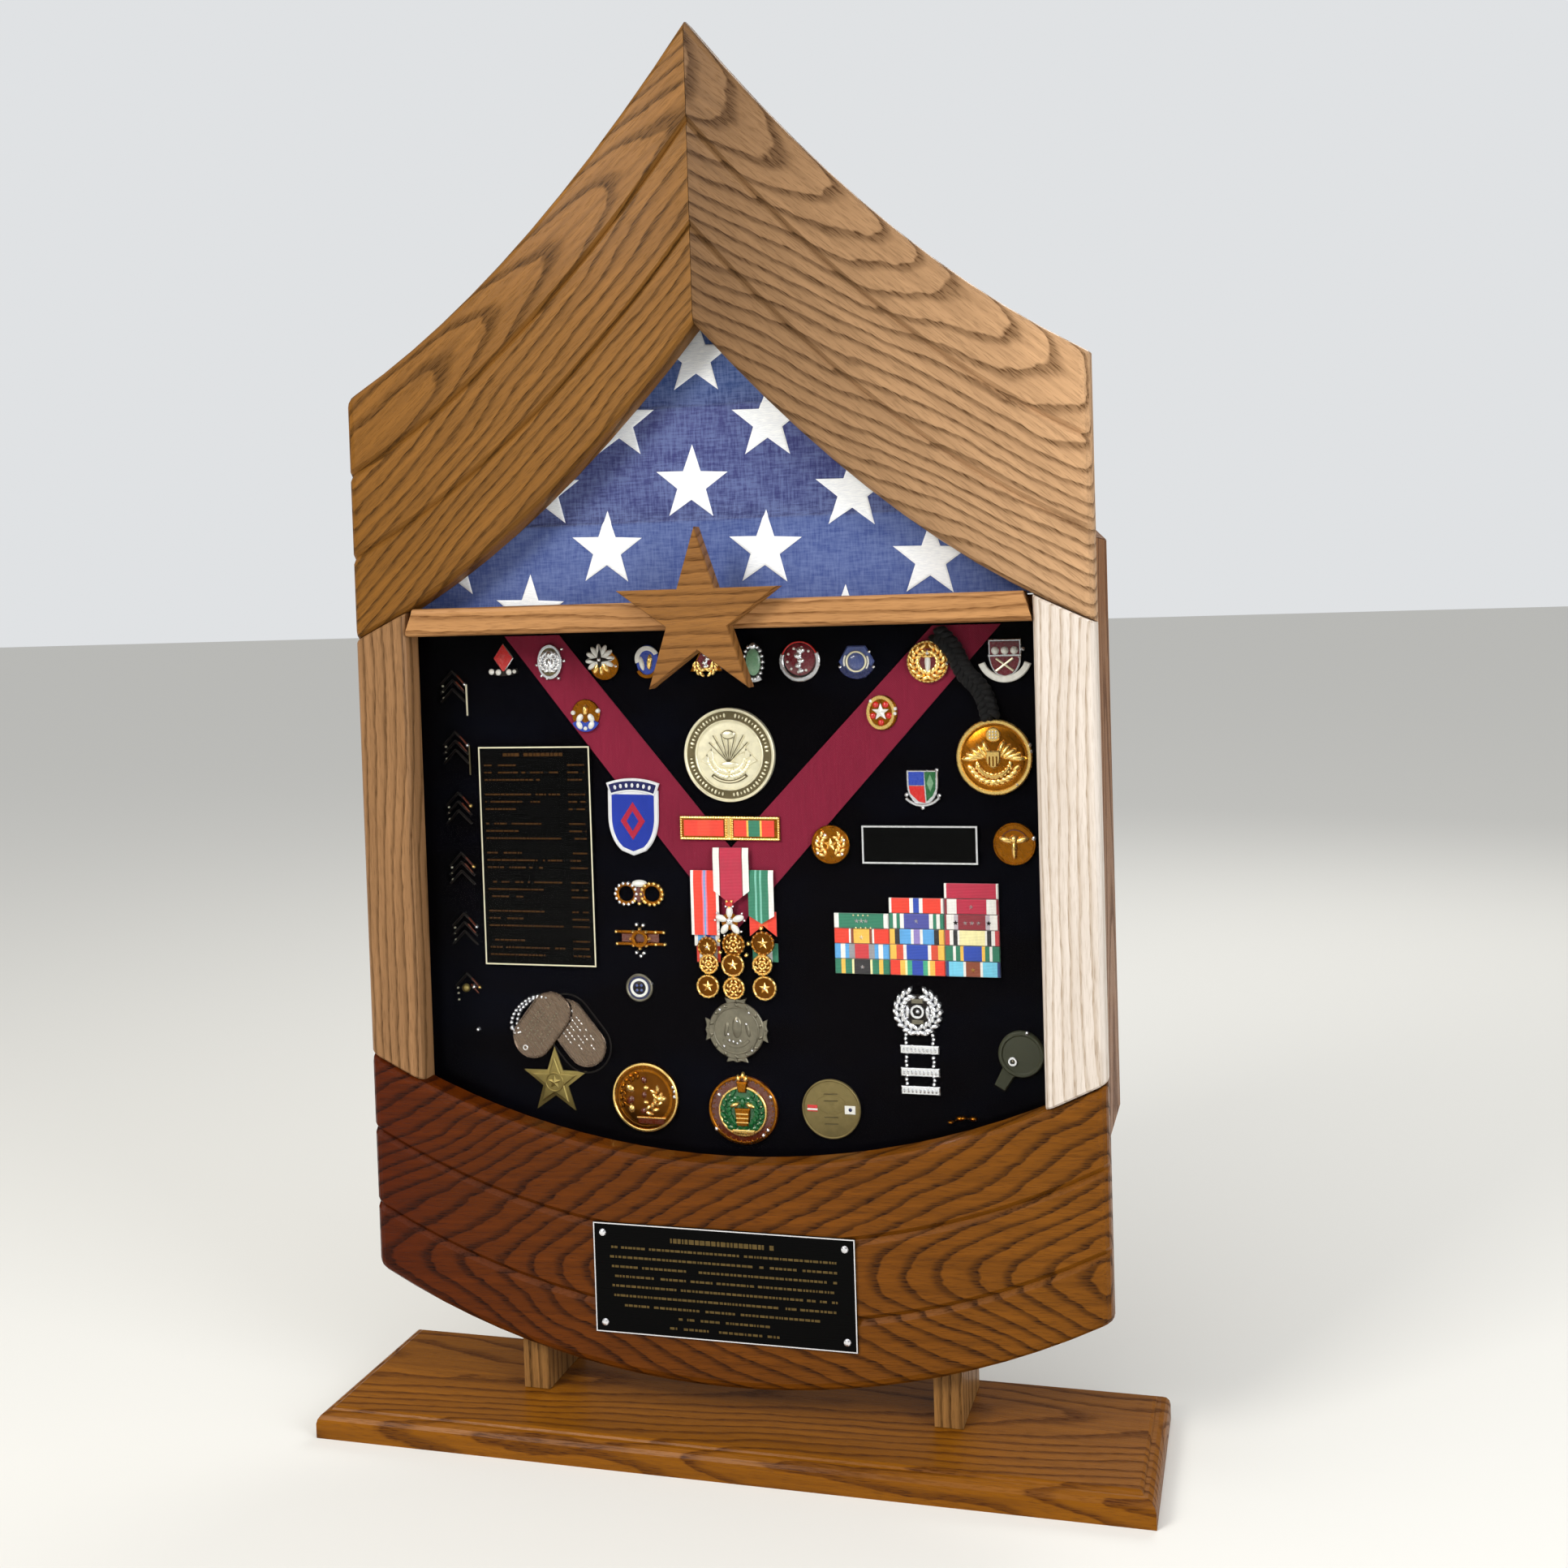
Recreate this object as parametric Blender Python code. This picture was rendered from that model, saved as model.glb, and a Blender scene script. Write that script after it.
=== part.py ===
"""Folded flag display case: an oak shadow box on a base plank, with a flag compartment over a display board.

Metres, +Z up, front face towards -Y, origin under the middle of the base. Every object is one piece.
"""
from math import asin, cos, pi, sin, sqrt, tau

import bmesh
import bpy
from mathutils import Matrix, Vector

# Driving dimensions
GAP = 0.0003                 # clearance kept between two touching pieces

BASE_LENGTH = 0.534
BASE_DEPTH = 0.140
BASE_THICKNESS = 0.018

FACE_FRONT = -0.0285         # front plane of the face frame
FACE_THICKNESS = 0.018
HALF_WIDTH = 0.241           # half the width of the face frame
STILE_WIDTH = 0.037
FACE_EASE = 0.006            # radius of the rounded front edges
ROUNDING = (0.0, pi / 6, pi / 3, pi / 2)   # angles of the points along a rounded edge
STILE_END_EASE = 0.0015
RAIL_EASE = 0.003
GROOVE_HALF_WIDTH = 0.0032
GROOVE_DEPTH = 0.0026

CHEVRON_LINES = ((0.891, 0.673), (0.830, 0.622), (0.766, 0.568), (0.705, 0.515))  # peak, eave
CHEVRON_SAG = 0.022
ROCKER_LOWS = (0.181, 0.131, 0.081, 0.0375)
ROCKER_RADIUS = 0.505

RAIL_LOW = 0.5165
RAIL_HIGH = 0.5345
STAR_CENTRE_Z = 0.525
STAR_RADIUS = 0.055
STAR_THICKNESS = 0.012
STAR_WAIST = 0.382           # inner radius of a regular five-pointed star, over its outer radius

CASE_DEPTH = 0.090           # from the front of the face frame to the back plane
CASE_HALF_WIDTH = 0.2405
WALL = 0.012
ROOF_WALL = 0.010
EAVE_Z = 0.565
SHELF_LOW = 0.518
SHELF_HIGH = 0.532
BOTTOM_LOW = 0.170           # lowest point of the arched bottom's upper face
BOTTOM_RADIUS = 0.60
BOTTOM_WALL = 0.010

GLASS = 0.0025
BOARD_FRONT = 0.045          # depth of the felt surface behind the front plane
BOARD_THICKNESS = 0.006
STRIP_WIDTH = 0.011          # spacer and retainer strips beside the board
RETAINER = 0.012
PANEL = 0.005                # rear door and flag cover
PANEL_GAP = 0.0007           # gap round the rear door and the flag cover
PANEL_RECESS = 0.0002        # their backs lie this far in from the back plane
FIT = 0.0005                 # gap round the glass and the display board

FLAG_LENGTH = 0.436          # long side of the folded flag

POST_X = 0.1375
POST_WIDTH = 0.018
POST_DEPTH = 0.080           # from the front of the face frame to the posts' back
POST_TOP = 0.1735
SCREW_RADIUS = 0.0020
SCREW_TIP = 0.050
SCREW_HEAD = (0.0008, 0.0038)   # lowest and highest level of a post screw's head
SCREW_HEAD_RADIUS = 0.0048

SIDES = ((-1, "left"), (1, "right"))

HINGE_HEIGHT = 0.050
HINGE_CENTRES = (0.270, 0.460)
LEAF_WIDTH = 0.0105
LEAF = 0.0012
KNUCKLE_RADIUS = 0.0022
KNUCKLE_BORE = 0.00145
HINGE_PIN_RADIUS = 0.00115

PLAQUE_SIZE = (0.172, 0.071)
PLAQUE_CENTRE_Z = 0.1045
PLAQUE_THICKNESS = 0.0015
PIN_INSET = 0.0065           # plaque pins, from the plaque's edges

# Worked-out dimensions
FACE_BACK = FACE_FRONT + FACE_THICKNESS
CASE_FRONT = FACE_BACK + GAP
BACK = FACE_FRONT + CASE_DEPTH
INNER_HALF = CASE_HALF_WIDTH - WALL
GLASS_BACK = CASE_FRONT + GLASS
FELT = FACE_FRONT + BOARD_FRONT
BOARD_BACK = FELT + BOARD_THICKNESS
PANEL_BACK = BACK - PANEL_RECESS
PANEL_FRONT = PANEL_BACK - PANEL
HARDWARE = BACK + GAP


def clear_scene():
    for old in list(bpy.data.objects):
        bpy.data.objects.remove(old, do_unlink=True)


def finish(name, colour, roughness, metallic=0.0, alpha=1.0):
    material = bpy.data.materials.new(name)
    material.use_nodes = True
    shader = material.node_tree.nodes["Principled BSDF"]
    shader.inputs["Base Color"].default_value = (*colour, 1.0)
    shader.inputs["Roughness"].default_value = roughness
    shader.inputs["Metallic"].default_value = metallic
    shader.inputs["Alpha"].default_value = alpha
    return material


def add_object(name, mesh, material, smooth=True):
    obj = bpy.data.objects.new(name, mesh)
    bpy.context.scene.collection.objects.link(obj)
    mesh.materials.append(material)
    if smooth:
        mesh.shade_smooth()
        mesh.set_sharp_from_angle(angle=pi / 5)
    return obj


def set_origin(obj, point):
    """Moves the object's origin without moving its shape."""
    obj.data.transform(Matrix.Translation(-Vector(point)))
    obj.location = point


def loft(name, rings, material):
    """One closed solid through rings of equal length, with flat ends."""
    shape = bmesh.new()
    rows = [[shape.verts.new(point) for point in ring] for ring in rings]
    count = len(rows[0])
    for row, following in zip(rows, rows[1:]):
        for i in range(count):
            j = (i + 1) % count
            shape.faces.new((row[i], row[j], following[j], following[i]))
    shape.faces.new(reversed(rows[0]))
    shape.faces.new(rows[-1])
    bmesh.ops.recalc_face_normals(shape, faces=shape.faces)
    mesh = bpy.data.meshes.new(name)
    shape.to_mesh(mesh)
    shape.free()
    return add_object(name, mesh, material)


def box(name, low, high, material):
    corners = ((low[0], low[1]), (high[0], low[1]), (high[0], high[1]), (low[0], high[1]))
    return loft(name, [[(x, y, z) for x, y in corners] for z in (low[2], high[2])], material)


def slab(name, outline, front, back, material):
    """An outline in X and Z, extruded along Y."""
    return loft(name, [[(x, y, z) for x, z in outline] for y in (front, back)], material)


def rod(name, start, end, radius, material, sides=16):
    start, end = Vector(start), Vector(end)
    turn = (end - start).to_track_quat("Z", "Y")
    circle = [Vector((cos(tau * i / sides), sin(tau * i / sides), 0.0)) * radius for i in range(sides)]
    return loft(name, [[centre + turn @ point for point in circle] for centre in (start, end)], material)


def turned(name, centre, profile, material, sides=24):
    """A round piece whose axis is along Y: profile holds (y, radius) pairs from front to back."""
    rings = []
    for depth, radius in profile:
        rings.append([(x, depth, z) for x, z in arc_points(centre, radius, 0.0, tau, sides + 1)[:-1]])
    return loft(name, rings, material)


def cut(obj, cutter):
    cutter.hide_render = True
    cutter.display_type = "WIRE"
    modifier = obj.modifiers.new("cut " + cutter.name, "BOOLEAN")
    modifier.operation = "DIFFERENCE"
    modifier.object = cutter


def join(obj, other):
    """Boolean union with a helper shape, which is then left out."""
    other.hide_render = True
    other.display_type = "WIRE"
    modifier = obj.modifiers.new("join " + other.name, "BOOLEAN")
    modifier.operation = "UNION"
    modifier.object = other


def spread(start, end, count):
    return [start + (end - start) * i / (count - 1) for i in range(count)]


def arc_points(centre, radius, start, end, count):
    return [(centre[0] + radius * cos(a), centre[1] + radius * sin(a)) for a in spread(start, end, count)]


def star_outline(centre, radius):
    points = []
    for i in range(10):
        reach = radius if i % 2 == 0 else radius * STAR_WAIST
        angle = pi / 2 - i * pi / 5
        points.append((centre[0] + reach * cos(angle), centre[1] + reach * sin(angle)))
    return points


def shield_outline(centre, width, height):
    """Flat top, sides that curve in to a point."""
    half = width / 2
    top = centre[1] + height / 2
    points = [(centre[0] - half, top), (centre[0] + half, top)]
    shoulder = 0.35              # share of the height where the sides start to curve in
    for t in spread(shoulder, 1.0, 7):
        narrowing = sqrt(max(0.0, 1 - ((t - shoulder) / (1 - shoulder)) ** 2))
        points.append((centre[0] + half * narrowing, top - height * t))
    mirrored = [(2 * centre[0] - x, z) for x, z in points[2:-1]]
    return points + mirrored[::-1]


def arch(x, low, radius):
    """Height of an upward-opening arc whose lowest point is at x = 0."""
    return low + radius - sqrt(radius ** 2 - x ** 2)


def chevron_height(x, line):
    peak, eave = line
    t = abs(x) / HALF_WIDTH
    return peak + (eave - peak) * t - 4 * CHEVRON_SAG * t * (1 - t)


def eased_front(past):
    """Y of a face piece's front, at a distance past the start of its rounded edge."""
    return FACE_FRONT + FACE_EASE - sqrt(max(0.0, FACE_EASE ** 2 - max(0.0, past) ** 2))


def face_section(x, heights):
    """Closed section of a face panel at x: rounded front edges and a V groove at each inner height."""
    top, bottom = heights[0], heights[-1]
    front = eased_front(abs(x) - (HALF_WIDTH - FACE_EASE))
    points = [(FACE_BACK, bottom), (FACE_BACK, top)]
    for angle in ROUNDING:
        points.append((front + FACE_EASE * (1 - sin(angle)), top - FACE_EASE * (1 - cos(angle))))
    for height in heights[1:-1]:
        points.append((front, height + GROOVE_HALF_WIDTH))
        points.append((front + GROOVE_DEPTH, height))
        points.append((front, height - GROOVE_HALF_WIDTH))
    for angle in reversed(ROUNDING):
        points.append((front + FACE_EASE * (1 - sin(angle)), bottom + FACE_EASE * (1 - cos(angle))))
    return [(x, y, z) for y, z in points]


def rounded_end(end_x):
    """Stations along the last rounded stretch before end_x."""
    return [end_x - FACE_EASE * (1 - sin(angle)) for angle in ROUNDING]


def build_base(oak):
    """Base plank with a stepped, rounded upper edge, two posts and the screws that hold them."""
    edge = ((0.0, 0.0), (0.0092, 0.0), (0.0120, 0.0007), (0.0143, 0.0024), (0.0158, 0.0050),
            (0.0160, 0.0074), (0.0172, 0.0082), (BASE_THICKNESS, 0.0100))
    rings = []
    for height, inset in edge:
        half_x = BASE_LENGTH / 2 - inset
        half_y = BASE_DEPTH / 2 - inset
        rings.append([(-half_x, -half_y, height), (half_x, -half_y, height),
                      (half_x, half_y, height), (-half_x, half_y, height)])
    plank = loft("base_plank", rings, oak)
    steel = finish("zinc screw", (0.55, 0.55, 0.53), 0.35, 1.0)
    post_back = FACE_FRONT + POST_DEPTH
    screw_y = (CASE_FRONT + post_back) / 2
    for side, label in SIDES:
        x = side * POST_X
        post = box("post_" + label, (x - POST_WIDTH / 2, CASE_FRONT, BASE_THICKNESS + GAP),
                   (x + POST_WIDTH / 2, post_back, POST_TOP), oak)
        hole = rod("post hole " + label, (x, screw_y, -0.001), (x, screw_y, SCREW_TIP + 0.002),
                   SCREW_RADIUS + 0.0004, steel)
        sink = rod("screw sink " + label, (x, screw_y, -0.001), (x, screw_y, SCREW_HEAD[1] + 0.0004),
                   SCREW_HEAD_RADIUS + 0.0006, steel)
        cut(plank, hole)
        cut(plank, sink)
        cut(post, hole)
        screw = rod("post_screw_" + label, (x, screw_y, SCREW_HEAD[0]), (x, screw_y, SCREW_HEAD[1]),
                    SCREW_HEAD_RADIUS, steel)
        shank = rod("screw shank " + label, (x, screw_y, SCREW_HEAD[1] - 0.0008), (x, screw_y, SCREW_TIP),
                    SCREW_RADIUS, steel)
        join(screw, shank)


def build_face(oak):
    """Two chevron panels, two stiles and the rocker panel."""
    for side, label in SIDES:
        stations = spread(GAP / 2, HALF_WIDTH - FACE_EASE, 12) + rounded_end(HALF_WIDTH)[1:]
        rings = []
        for x in stations:
            heights = [chevron_height(x, line) for line in CHEVRON_LINES]
            rings.append(face_section(side * x, heights))
        loft("chevron_" + label, rings, oak)

        inner, outer = HALF_WIDTH - STILE_WIDTH, HALF_WIDTH
        across = [inner + FACE_EASE * (1 - sin(a)) for a in (pi / 2, pi / 3, pi / 6)] + [inner + FACE_EASE]
        across += rounded_end(outer)
        rings = []
        for x in across:
            front = eased_front(max(inner + FACE_EASE - x, x - (outer - FACE_EASE)))
            top = chevron_height(x, CHEVRON_LINES[-1]) - GAP
            low = arch(x, ROCKER_LOWS[0], ROCKER_RADIUS) + GAP
            rings.append([(side * x, FACE_BACK, low), (side * x, FACE_BACK, top),
                          (side * x, front + STILE_END_EASE, top), (side * x, front, top - STILE_END_EASE),
                          (side * x, front, low + STILE_END_EASE), (side * x, front + STILE_END_EASE, low)])
        loft("stile_" + label, rings, oak)

    stations = [-x for x in reversed(rounded_end(HALF_WIDTH))]
    stations += spread(-(HALF_WIDTH - FACE_EASE), HALF_WIDTH - FACE_EASE, 25)[1:-1]
    stations += rounded_end(HALF_WIDTH)
    rings = []
    for x in stations:
        heights = [arch(x, low, ROCKER_RADIUS) for low in ROCKER_LOWS]
        rings.append(face_section(x, heights))
    loft("rocker_panel", rings, oak)


def rail_half_at_top():
    """Half length of the rail's top edge, where the chevrons' lower edge comes down to it."""
    step = 0.0005
    x = 0.0
    while chevron_height(x, CHEVRON_LINES[-1]) > RAIL_HIGH + 2 * GAP:
        x += step
    return x - 2 * step


def build_divider_rail(oak):
    """Rail between the two windows, shorter at its top where it meets the chevrons."""
    half = HALF_WIDTH - STILE_WIDTH - GAP
    short = min(half, rail_half_at_top())
    corner = RAIL_EASE * 0.3
    section = [(FACE_BACK, RAIL_LOW), (FACE_BACK, RAIL_HIGH), (FACE_FRONT + RAIL_EASE, RAIL_HIGH),
               (FACE_FRONT + corner, RAIL_HIGH - corner), (FACE_FRONT, RAIL_HIGH - RAIL_EASE),
               (FACE_FRONT, RAIL_LOW + RAIL_EASE), (FACE_FRONT + corner, RAIL_LOW + corner),
               (FACE_FRONT + RAIL_EASE, RAIL_LOW)]
    rings = []
    for side, _ in SIDES:
        reach = [half if z < RAIL_HIGH - 2 * RAIL_EASE else short for _, z in section]
        rings.append([(side * x, y, z) for x, (y, z) in zip(reach, section)])
    loft("divider_rail", rings, oak)


def build_star(oak):
    """Wooden star on the middle of the rail, with a chamfered front edge."""
    back = FACE_FRONT - GAP
    front = back - STAR_THICKNESS
    chamfer = 0.0018
    rings = []
    for depth, inset in ((front, chamfer), (front + 0.0012, 0.0), (back, 0.0)):
        outline = star_outline((0.0, STAR_CENTRE_Z), STAR_RADIUS - inset)
        rings.append([(x, depth, z) for x, z in outline])
    loft("front_star", rings, oak)


def bottom_height(x):
    return arch(x, BOTTOM_LOW, BOTTOM_RADIUS)


def build_case(oak):
    """The box behind the face: two sides, two roof boards, a shelf and an arched bottom."""
    end = INNER_HALF - GAP
    side_low = bottom_height(end) - BOTTOM_WALL
    drop = ROOF_WALL * sqrt(2)
    ridge = EAVE_Z + CASE_HALF_WIDTH
    middle = GAP / 2
    for side, label in SIDES:
        low_x, high_x = sorted((side * INNER_HALF, side * CASE_HALF_WIDTH))
        box("case_side_" + label, (low_x, CASE_FRONT, side_low), (high_x, BACK, EAVE_Z - GAP), oak)
        outline = [(CASE_HALF_WIDTH, EAVE_Z), (middle, ridge - middle), (middle, ridge - drop - middle),
                   (CASE_HALF_WIDTH - drop, EAVE_Z)]
        slab("case_roof_" + label, [(side * x, z) for x, z in outline], CASE_FRONT, BACK, oak)
    box("divider_shelf", (-end, CASE_FRONT, SHELF_LOW), (end, BACK, SHELF_HIGH), oak)
    rings = []
    for x in spread(-end, end, 19):
        top = bottom_height(x)
        rings.append([(x, CASE_FRONT, top), (x, PANEL_FRONT - GAP, top),
                      (x, PANEL_FRONT - GAP, top - BOTTOM_WALL), (x, CASE_FRONT, top - BOTTOM_WALL)])
    loft("case_bottom", rings, oak)


def house_outline(half, low, slack):
    """Outline of the flag compartment: upright sides to the eaves, then a 45 degree roof."""
    inner_roof = CASE_HALF_WIDTH - ROOF_WALL * sqrt(2) - slack
    eave = EAVE_Z + inner_roof - half
    return [(-half, low), (half, low), (half, eave), (0.0, EAVE_Z + inner_roof), (-half, eave)]


def window_outline(half, margin, top):
    """Outline of the medal compartment: straight top and sides, arched lower edge."""
    arched = [(x, bottom_height(x) + margin) for x in spread(-half, half, 19)]
    return arched + [(half, top), (-half, top)]


def build_glazing():
    clear = finish("clear glass", (0.92, 0.96, 0.95), 0.03, 0.0, 0.2)
    half = INNER_HALF - FIT
    slab("flag_glass", house_outline(half, SHELF_HIGH + FIT, 4 * FIT), CASE_FRONT, GLASS_BACK, clear)
    slab("medal_glass", window_outline(half, FIT, SHELF_LOW - FIT), CASE_FRONT, GLASS_BACK, clear)


def build_display_board(oak):
    """Felt covered board between spacer strips in front and retainer strips behind."""
    felt = finish("black felt", (0.012, 0.012, 0.016), 0.95)
    half = INNER_HALF - FIT
    slab("display_board", window_outline(half, 2 * GAP, SHELF_LOW - FIT), FELT, BOARD_BACK, felt)
    low = bottom_height(INNER_HALF) + 2 * GAP
    high = SHELF_LOW - GAP
    for side, label in SIDES:
        inner, outer = sorted((side * (INNER_HALF - STRIP_WIDTH), side * (INNER_HALF - GAP)))
        box("board_spacer_" + label, (inner, GLASS_BACK + GAP, low), (outer, FELT - GAP, high), oak)
        box("board_retainer_" + label, (inner, BOARD_BACK + GAP, low),
            (outer, BOARD_BACK + RETAINER, high), oak)


def build_flag():
    """The flag folded to a triangle, as one plain solid."""
    cotton = finish("flag cotton", (0.05, 0.08, 0.30), 0.85)
    low = SHELF_HIGH + 0.0015
    half = FLAG_LENGTH / 2
    nose = 0.006                 # blunt corners, where the cloth turns round
    outline = [(-half, low), (half, low), (half - nose, low + nose), (nose, low + half - nose),
               (-nose, low + half - nose), (nose - half, low + nose)]
    slab("folded_flag", outline, GLASS_BACK + 0.003, PANEL_FRONT - 0.0015, cotton)


def build_flag_cover(ply, brass):
    """Rear cover of the flag compartment, with the three turn buttons that hold it."""
    slab("flag_cover", house_outline(INNER_HALF - PANEL_GAP, SHELF_HIGH + PANEL_GAP, 0.001),
         PANEL_FRONT, PANEL_BACK, ply)
    along = 0.105                # distance of the roof buttons from the middle
    ridge = EAVE_Z + CASE_HALF_WIDTH - ROOF_WALL / sqrt(2)
    pivots = (("left", (-along, ridge - along), -pi / 4),
              ("right", (along, ridge - along), 5 * pi / 4),
              ("shelf", (0.0, (SHELF_LOW + SHELF_HIGH) / 2), pi / 2))
    for label, pivot, direction in pivots:
        build_turn_button(label, pivot, direction, brass)


def build_turn_button(label, pivot, direction, brass):
    """A small bar on a screw: it points over the cover, and turns a quarter to free it."""
    reach, width, thickness = 0.021, 0.009, 0.0024
    outline = arc_points((0.0, 0.0), width / 2, pi / 2, 3 * pi / 2, 7)
    outline += arc_points((reach - width / 2, 0.0), width / 2, -pi / 2, pi / 2, 7)
    turn = Matrix.Rotation(direction, 2)
    placed = [tuple(turn @ Vector(point) + Vector(pivot)) for point in outline]
    button = slab("turn_button_" + label, placed, HARDWARE, HARDWARE + thickness, brass)
    x, z = pivot
    bore = rod("button bore " + label, (x, BACK - 0.010, z), (x, BACK + 0.010, z), 0.0017, brass, 12)
    cut(button, bore)
    host = "divider_shelf" if label == "shelf" else "case_roof_" + label
    cut(bpy.data.objects[host], bore)
    set_origin(button, (x, HARDWARE, z))
    head = HARDWARE + thickness + GAP
    turned("button_screw_" + label, pivot,
           ((BACK - 0.0095, 0.0007), (BACK - 0.008, 0.0013), (head, 0.0013), (head + 0.0001, 0.0032),
            (head + 0.0009, 0.0029), (head + 0.0014, 0.0016)), brass, 12)


def build_rear_door(ply, brass, steel):
    """Hinged rear door of the medal compartment, with its knob and magnetic catch."""
    half = INNER_HALF - PANEL_GAP
    top = SHELF_LOW - PANEL_GAP
    door = slab("rear_door", window_outline(half, -BOTTOM_WALL, top), PANEL_FRONT, PANEL_BACK, ply)
    axis = (-INNER_HALF, HARDWARE + KNUCKLE_RADIUS, 0.0)
    set_origin(door, axis)

    foot = HARDWARE
    turned("door_knob", (0.195, 0.365),
           ((foot, 0.0042), (foot + 0.0018, 0.0030), (foot + 0.0038, 0.0036), (foot + 0.0058, 0.0062),
            (foot + 0.0072, 0.0058), (foot + 0.0082, 0.0030)), brass)
    casing = finish("magnet case", (0.25, 0.16, 0.08), 0.5)
    catch_x, catch_gap = 0.120, 0.0004
    plate_front = PANEL_FRONT - 0.0013
    box("catch_magnet", (catch_x - 0.015, PANEL_FRONT - 0.0160, SHELF_LOW - 0.0100),
        (catch_x + 0.015, plate_front - catch_gap, SHELF_LOW - GAP), casing)
    box("catch_plate", (catch_x - 0.010, plate_front, SHELF_LOW - 0.0125),
        (catch_x + 0.010, PANEL_FRONT - GAP, SHELF_LOW - 0.0015), steel)
    for height, label in zip(HINGE_CENTRES, ("lower", "upper")):
        build_hinge(label, height, axis, brass)


def build_hinge(label, height, axis, brass):
    """Butt hinge of two leaves with five knuckles round one pin."""
    low, high = height - HINGE_HEIGHT / 2, height + HINGE_HEIGHT / 2
    knuckles = spread(low, high, 6)
    centre = (axis[0], axis[1])
    for side, part in ((-1, "frame"), (1, "door")):
        rings = [[(x, y, z) for x, y in leaf_outline(centre, side)] for z in (low, high)]
        leaf = loft(f"hinge_{label}_{part}_leaf", rings, brass)
        bore = rod(f"hinge bore {label} {part}", (*centre, low - 0.002), (*centre, high + 0.002),
                   KNUCKLE_BORE, brass, 12)
        cut(leaf, bore)
        for i, (start, end) in enumerate(zip(knuckles, knuckles[1:])):
            if (i % 2 == 0) == (side < 0):
                continue
            near, far = sorted((centre[0] - side * 0.004, centre[0] + side * (KNUCKLE_RADIUS + GAP)))
            notch = box(f"hinge notch {label} {part} {i}", (near, HARDWARE - 0.002, start - GAP / 2),
                        (far, HARDWARE + 0.008, end + GAP / 2), brass)
            cut(leaf, notch)
        set_origin(leaf, (*centre, height))
    pin = rod(f"hinge_{label}_pin", (*centre, low), (*centre, high), HINGE_PIN_RADIUS, brass, 12)
    set_origin(pin, (*centre, height))


def leaf_outline(centre, side):
    """Section of a leaf: a flat plate that runs into the round knuckle."""
    x, y = centre
    above = LEAF - KNUCKLE_RADIUS     # the plate's top, measured from the knuckle's axis
    meet = asin(above / KNUCKLE_RADIUS)
    ring = arc_points((0.0, 0.0), KNUCKLE_RADIUS, meet, 3 * pi / 2, 15)
    outline = [(LEAF_WIDTH, -KNUCKLE_RADIUS), (LEAF_WIDTH, above)] + ring
    return [(x + side * px, y + py) for px, py in outline]


def build_plaque(brass):
    """Blank black plate on the rocker panel, held by four small pins."""
    black = finish("black plate", (0.01, 0.01, 0.012), 0.25)
    half_x, half_z = PLAQUE_SIZE[0] / 2, PLAQUE_SIZE[1] / 2
    back = FACE_FRONT - GAP
    front = back - PLAQUE_THICKNESS
    plate = box("front_plaque", (-half_x, front, PLAQUE_CENTRE_Z - half_z),
                (half_x, back, PLAQUE_CENTRE_Z + half_z), black)
    for side, label in SIDES:
        for up, level in ((-1, "lower"), (1, "upper")):
            x = side * (half_x - PIN_INSET)
            z = PLAQUE_CENTRE_Z + up * (half_z - PIN_INSET)
            hole = rod(f"plaque hole {level} {label}", (x, front - 0.002, z), (x, back + 0.006, z),
                       0.0013, brass, 12)
            cut(plate, hole)
            cut(bpy.data.objects["rocker_panel"], hole)
            turned(f"plaque_pin_{level}_{label}", (x, z),
                   ((front - 0.0013, 0.0010), (front - 0.0009, 0.0020), (front - GAP, 0.0024),
                    (front - GAP + 0.0001, 0.0009), (back + 0.0055, 0.0007)), brass, 12)


def disc(name, centre, radius, thickness, material):
    """A coin or medallion with a softened rim, lying against the felt."""
    back = FELT - GAP
    front = back - thickness
    profile = ((front, radius - 0.0006), (front + 0.0005, radius), (back, radius))
    return turned(name, centre, profile, material, 32)


def on_felt(name, outline, thickness, material, lift=0.0):
    back = FELT - GAP - lift
    return slab(name, outline, back - thickness, back, material)


def rectangle(low_x, low_z, high_x, high_z):
    return [(low_x, low_z), (high_x, low_z), (high_x, high_z), (low_x, high_z)]


def stadium(centre, length, width, tilt):
    half = (length - width) / 2
    points = arc_points((half, 0.0), width / 2, -pi / 2, pi / 2, 7)
    points += arc_points((-half, 0.0), width / 2, pi / 2, 3 * pi / 2, 7)
    turn = Matrix.Rotation(tilt, 2)
    return [tuple(turn @ Vector(point) + Vector(centre)) for point in points]


def build_sash():
    """Maroon ribbon laid in a V from the top corners to the middle of the board."""
    cloth = finish("maroon ribbon", (0.22, 0.01, 0.05), 0.6)
    top = SHELF_LOW - 0.0035
    outline = [(-0.1535, top), (-0.1145, top), (0.0, 0.3740), (0.1360, top), (0.1790, top), (0.0, 0.3180)]
    on_felt("sash_ribbon", outline, 0.0007, cloth)


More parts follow.
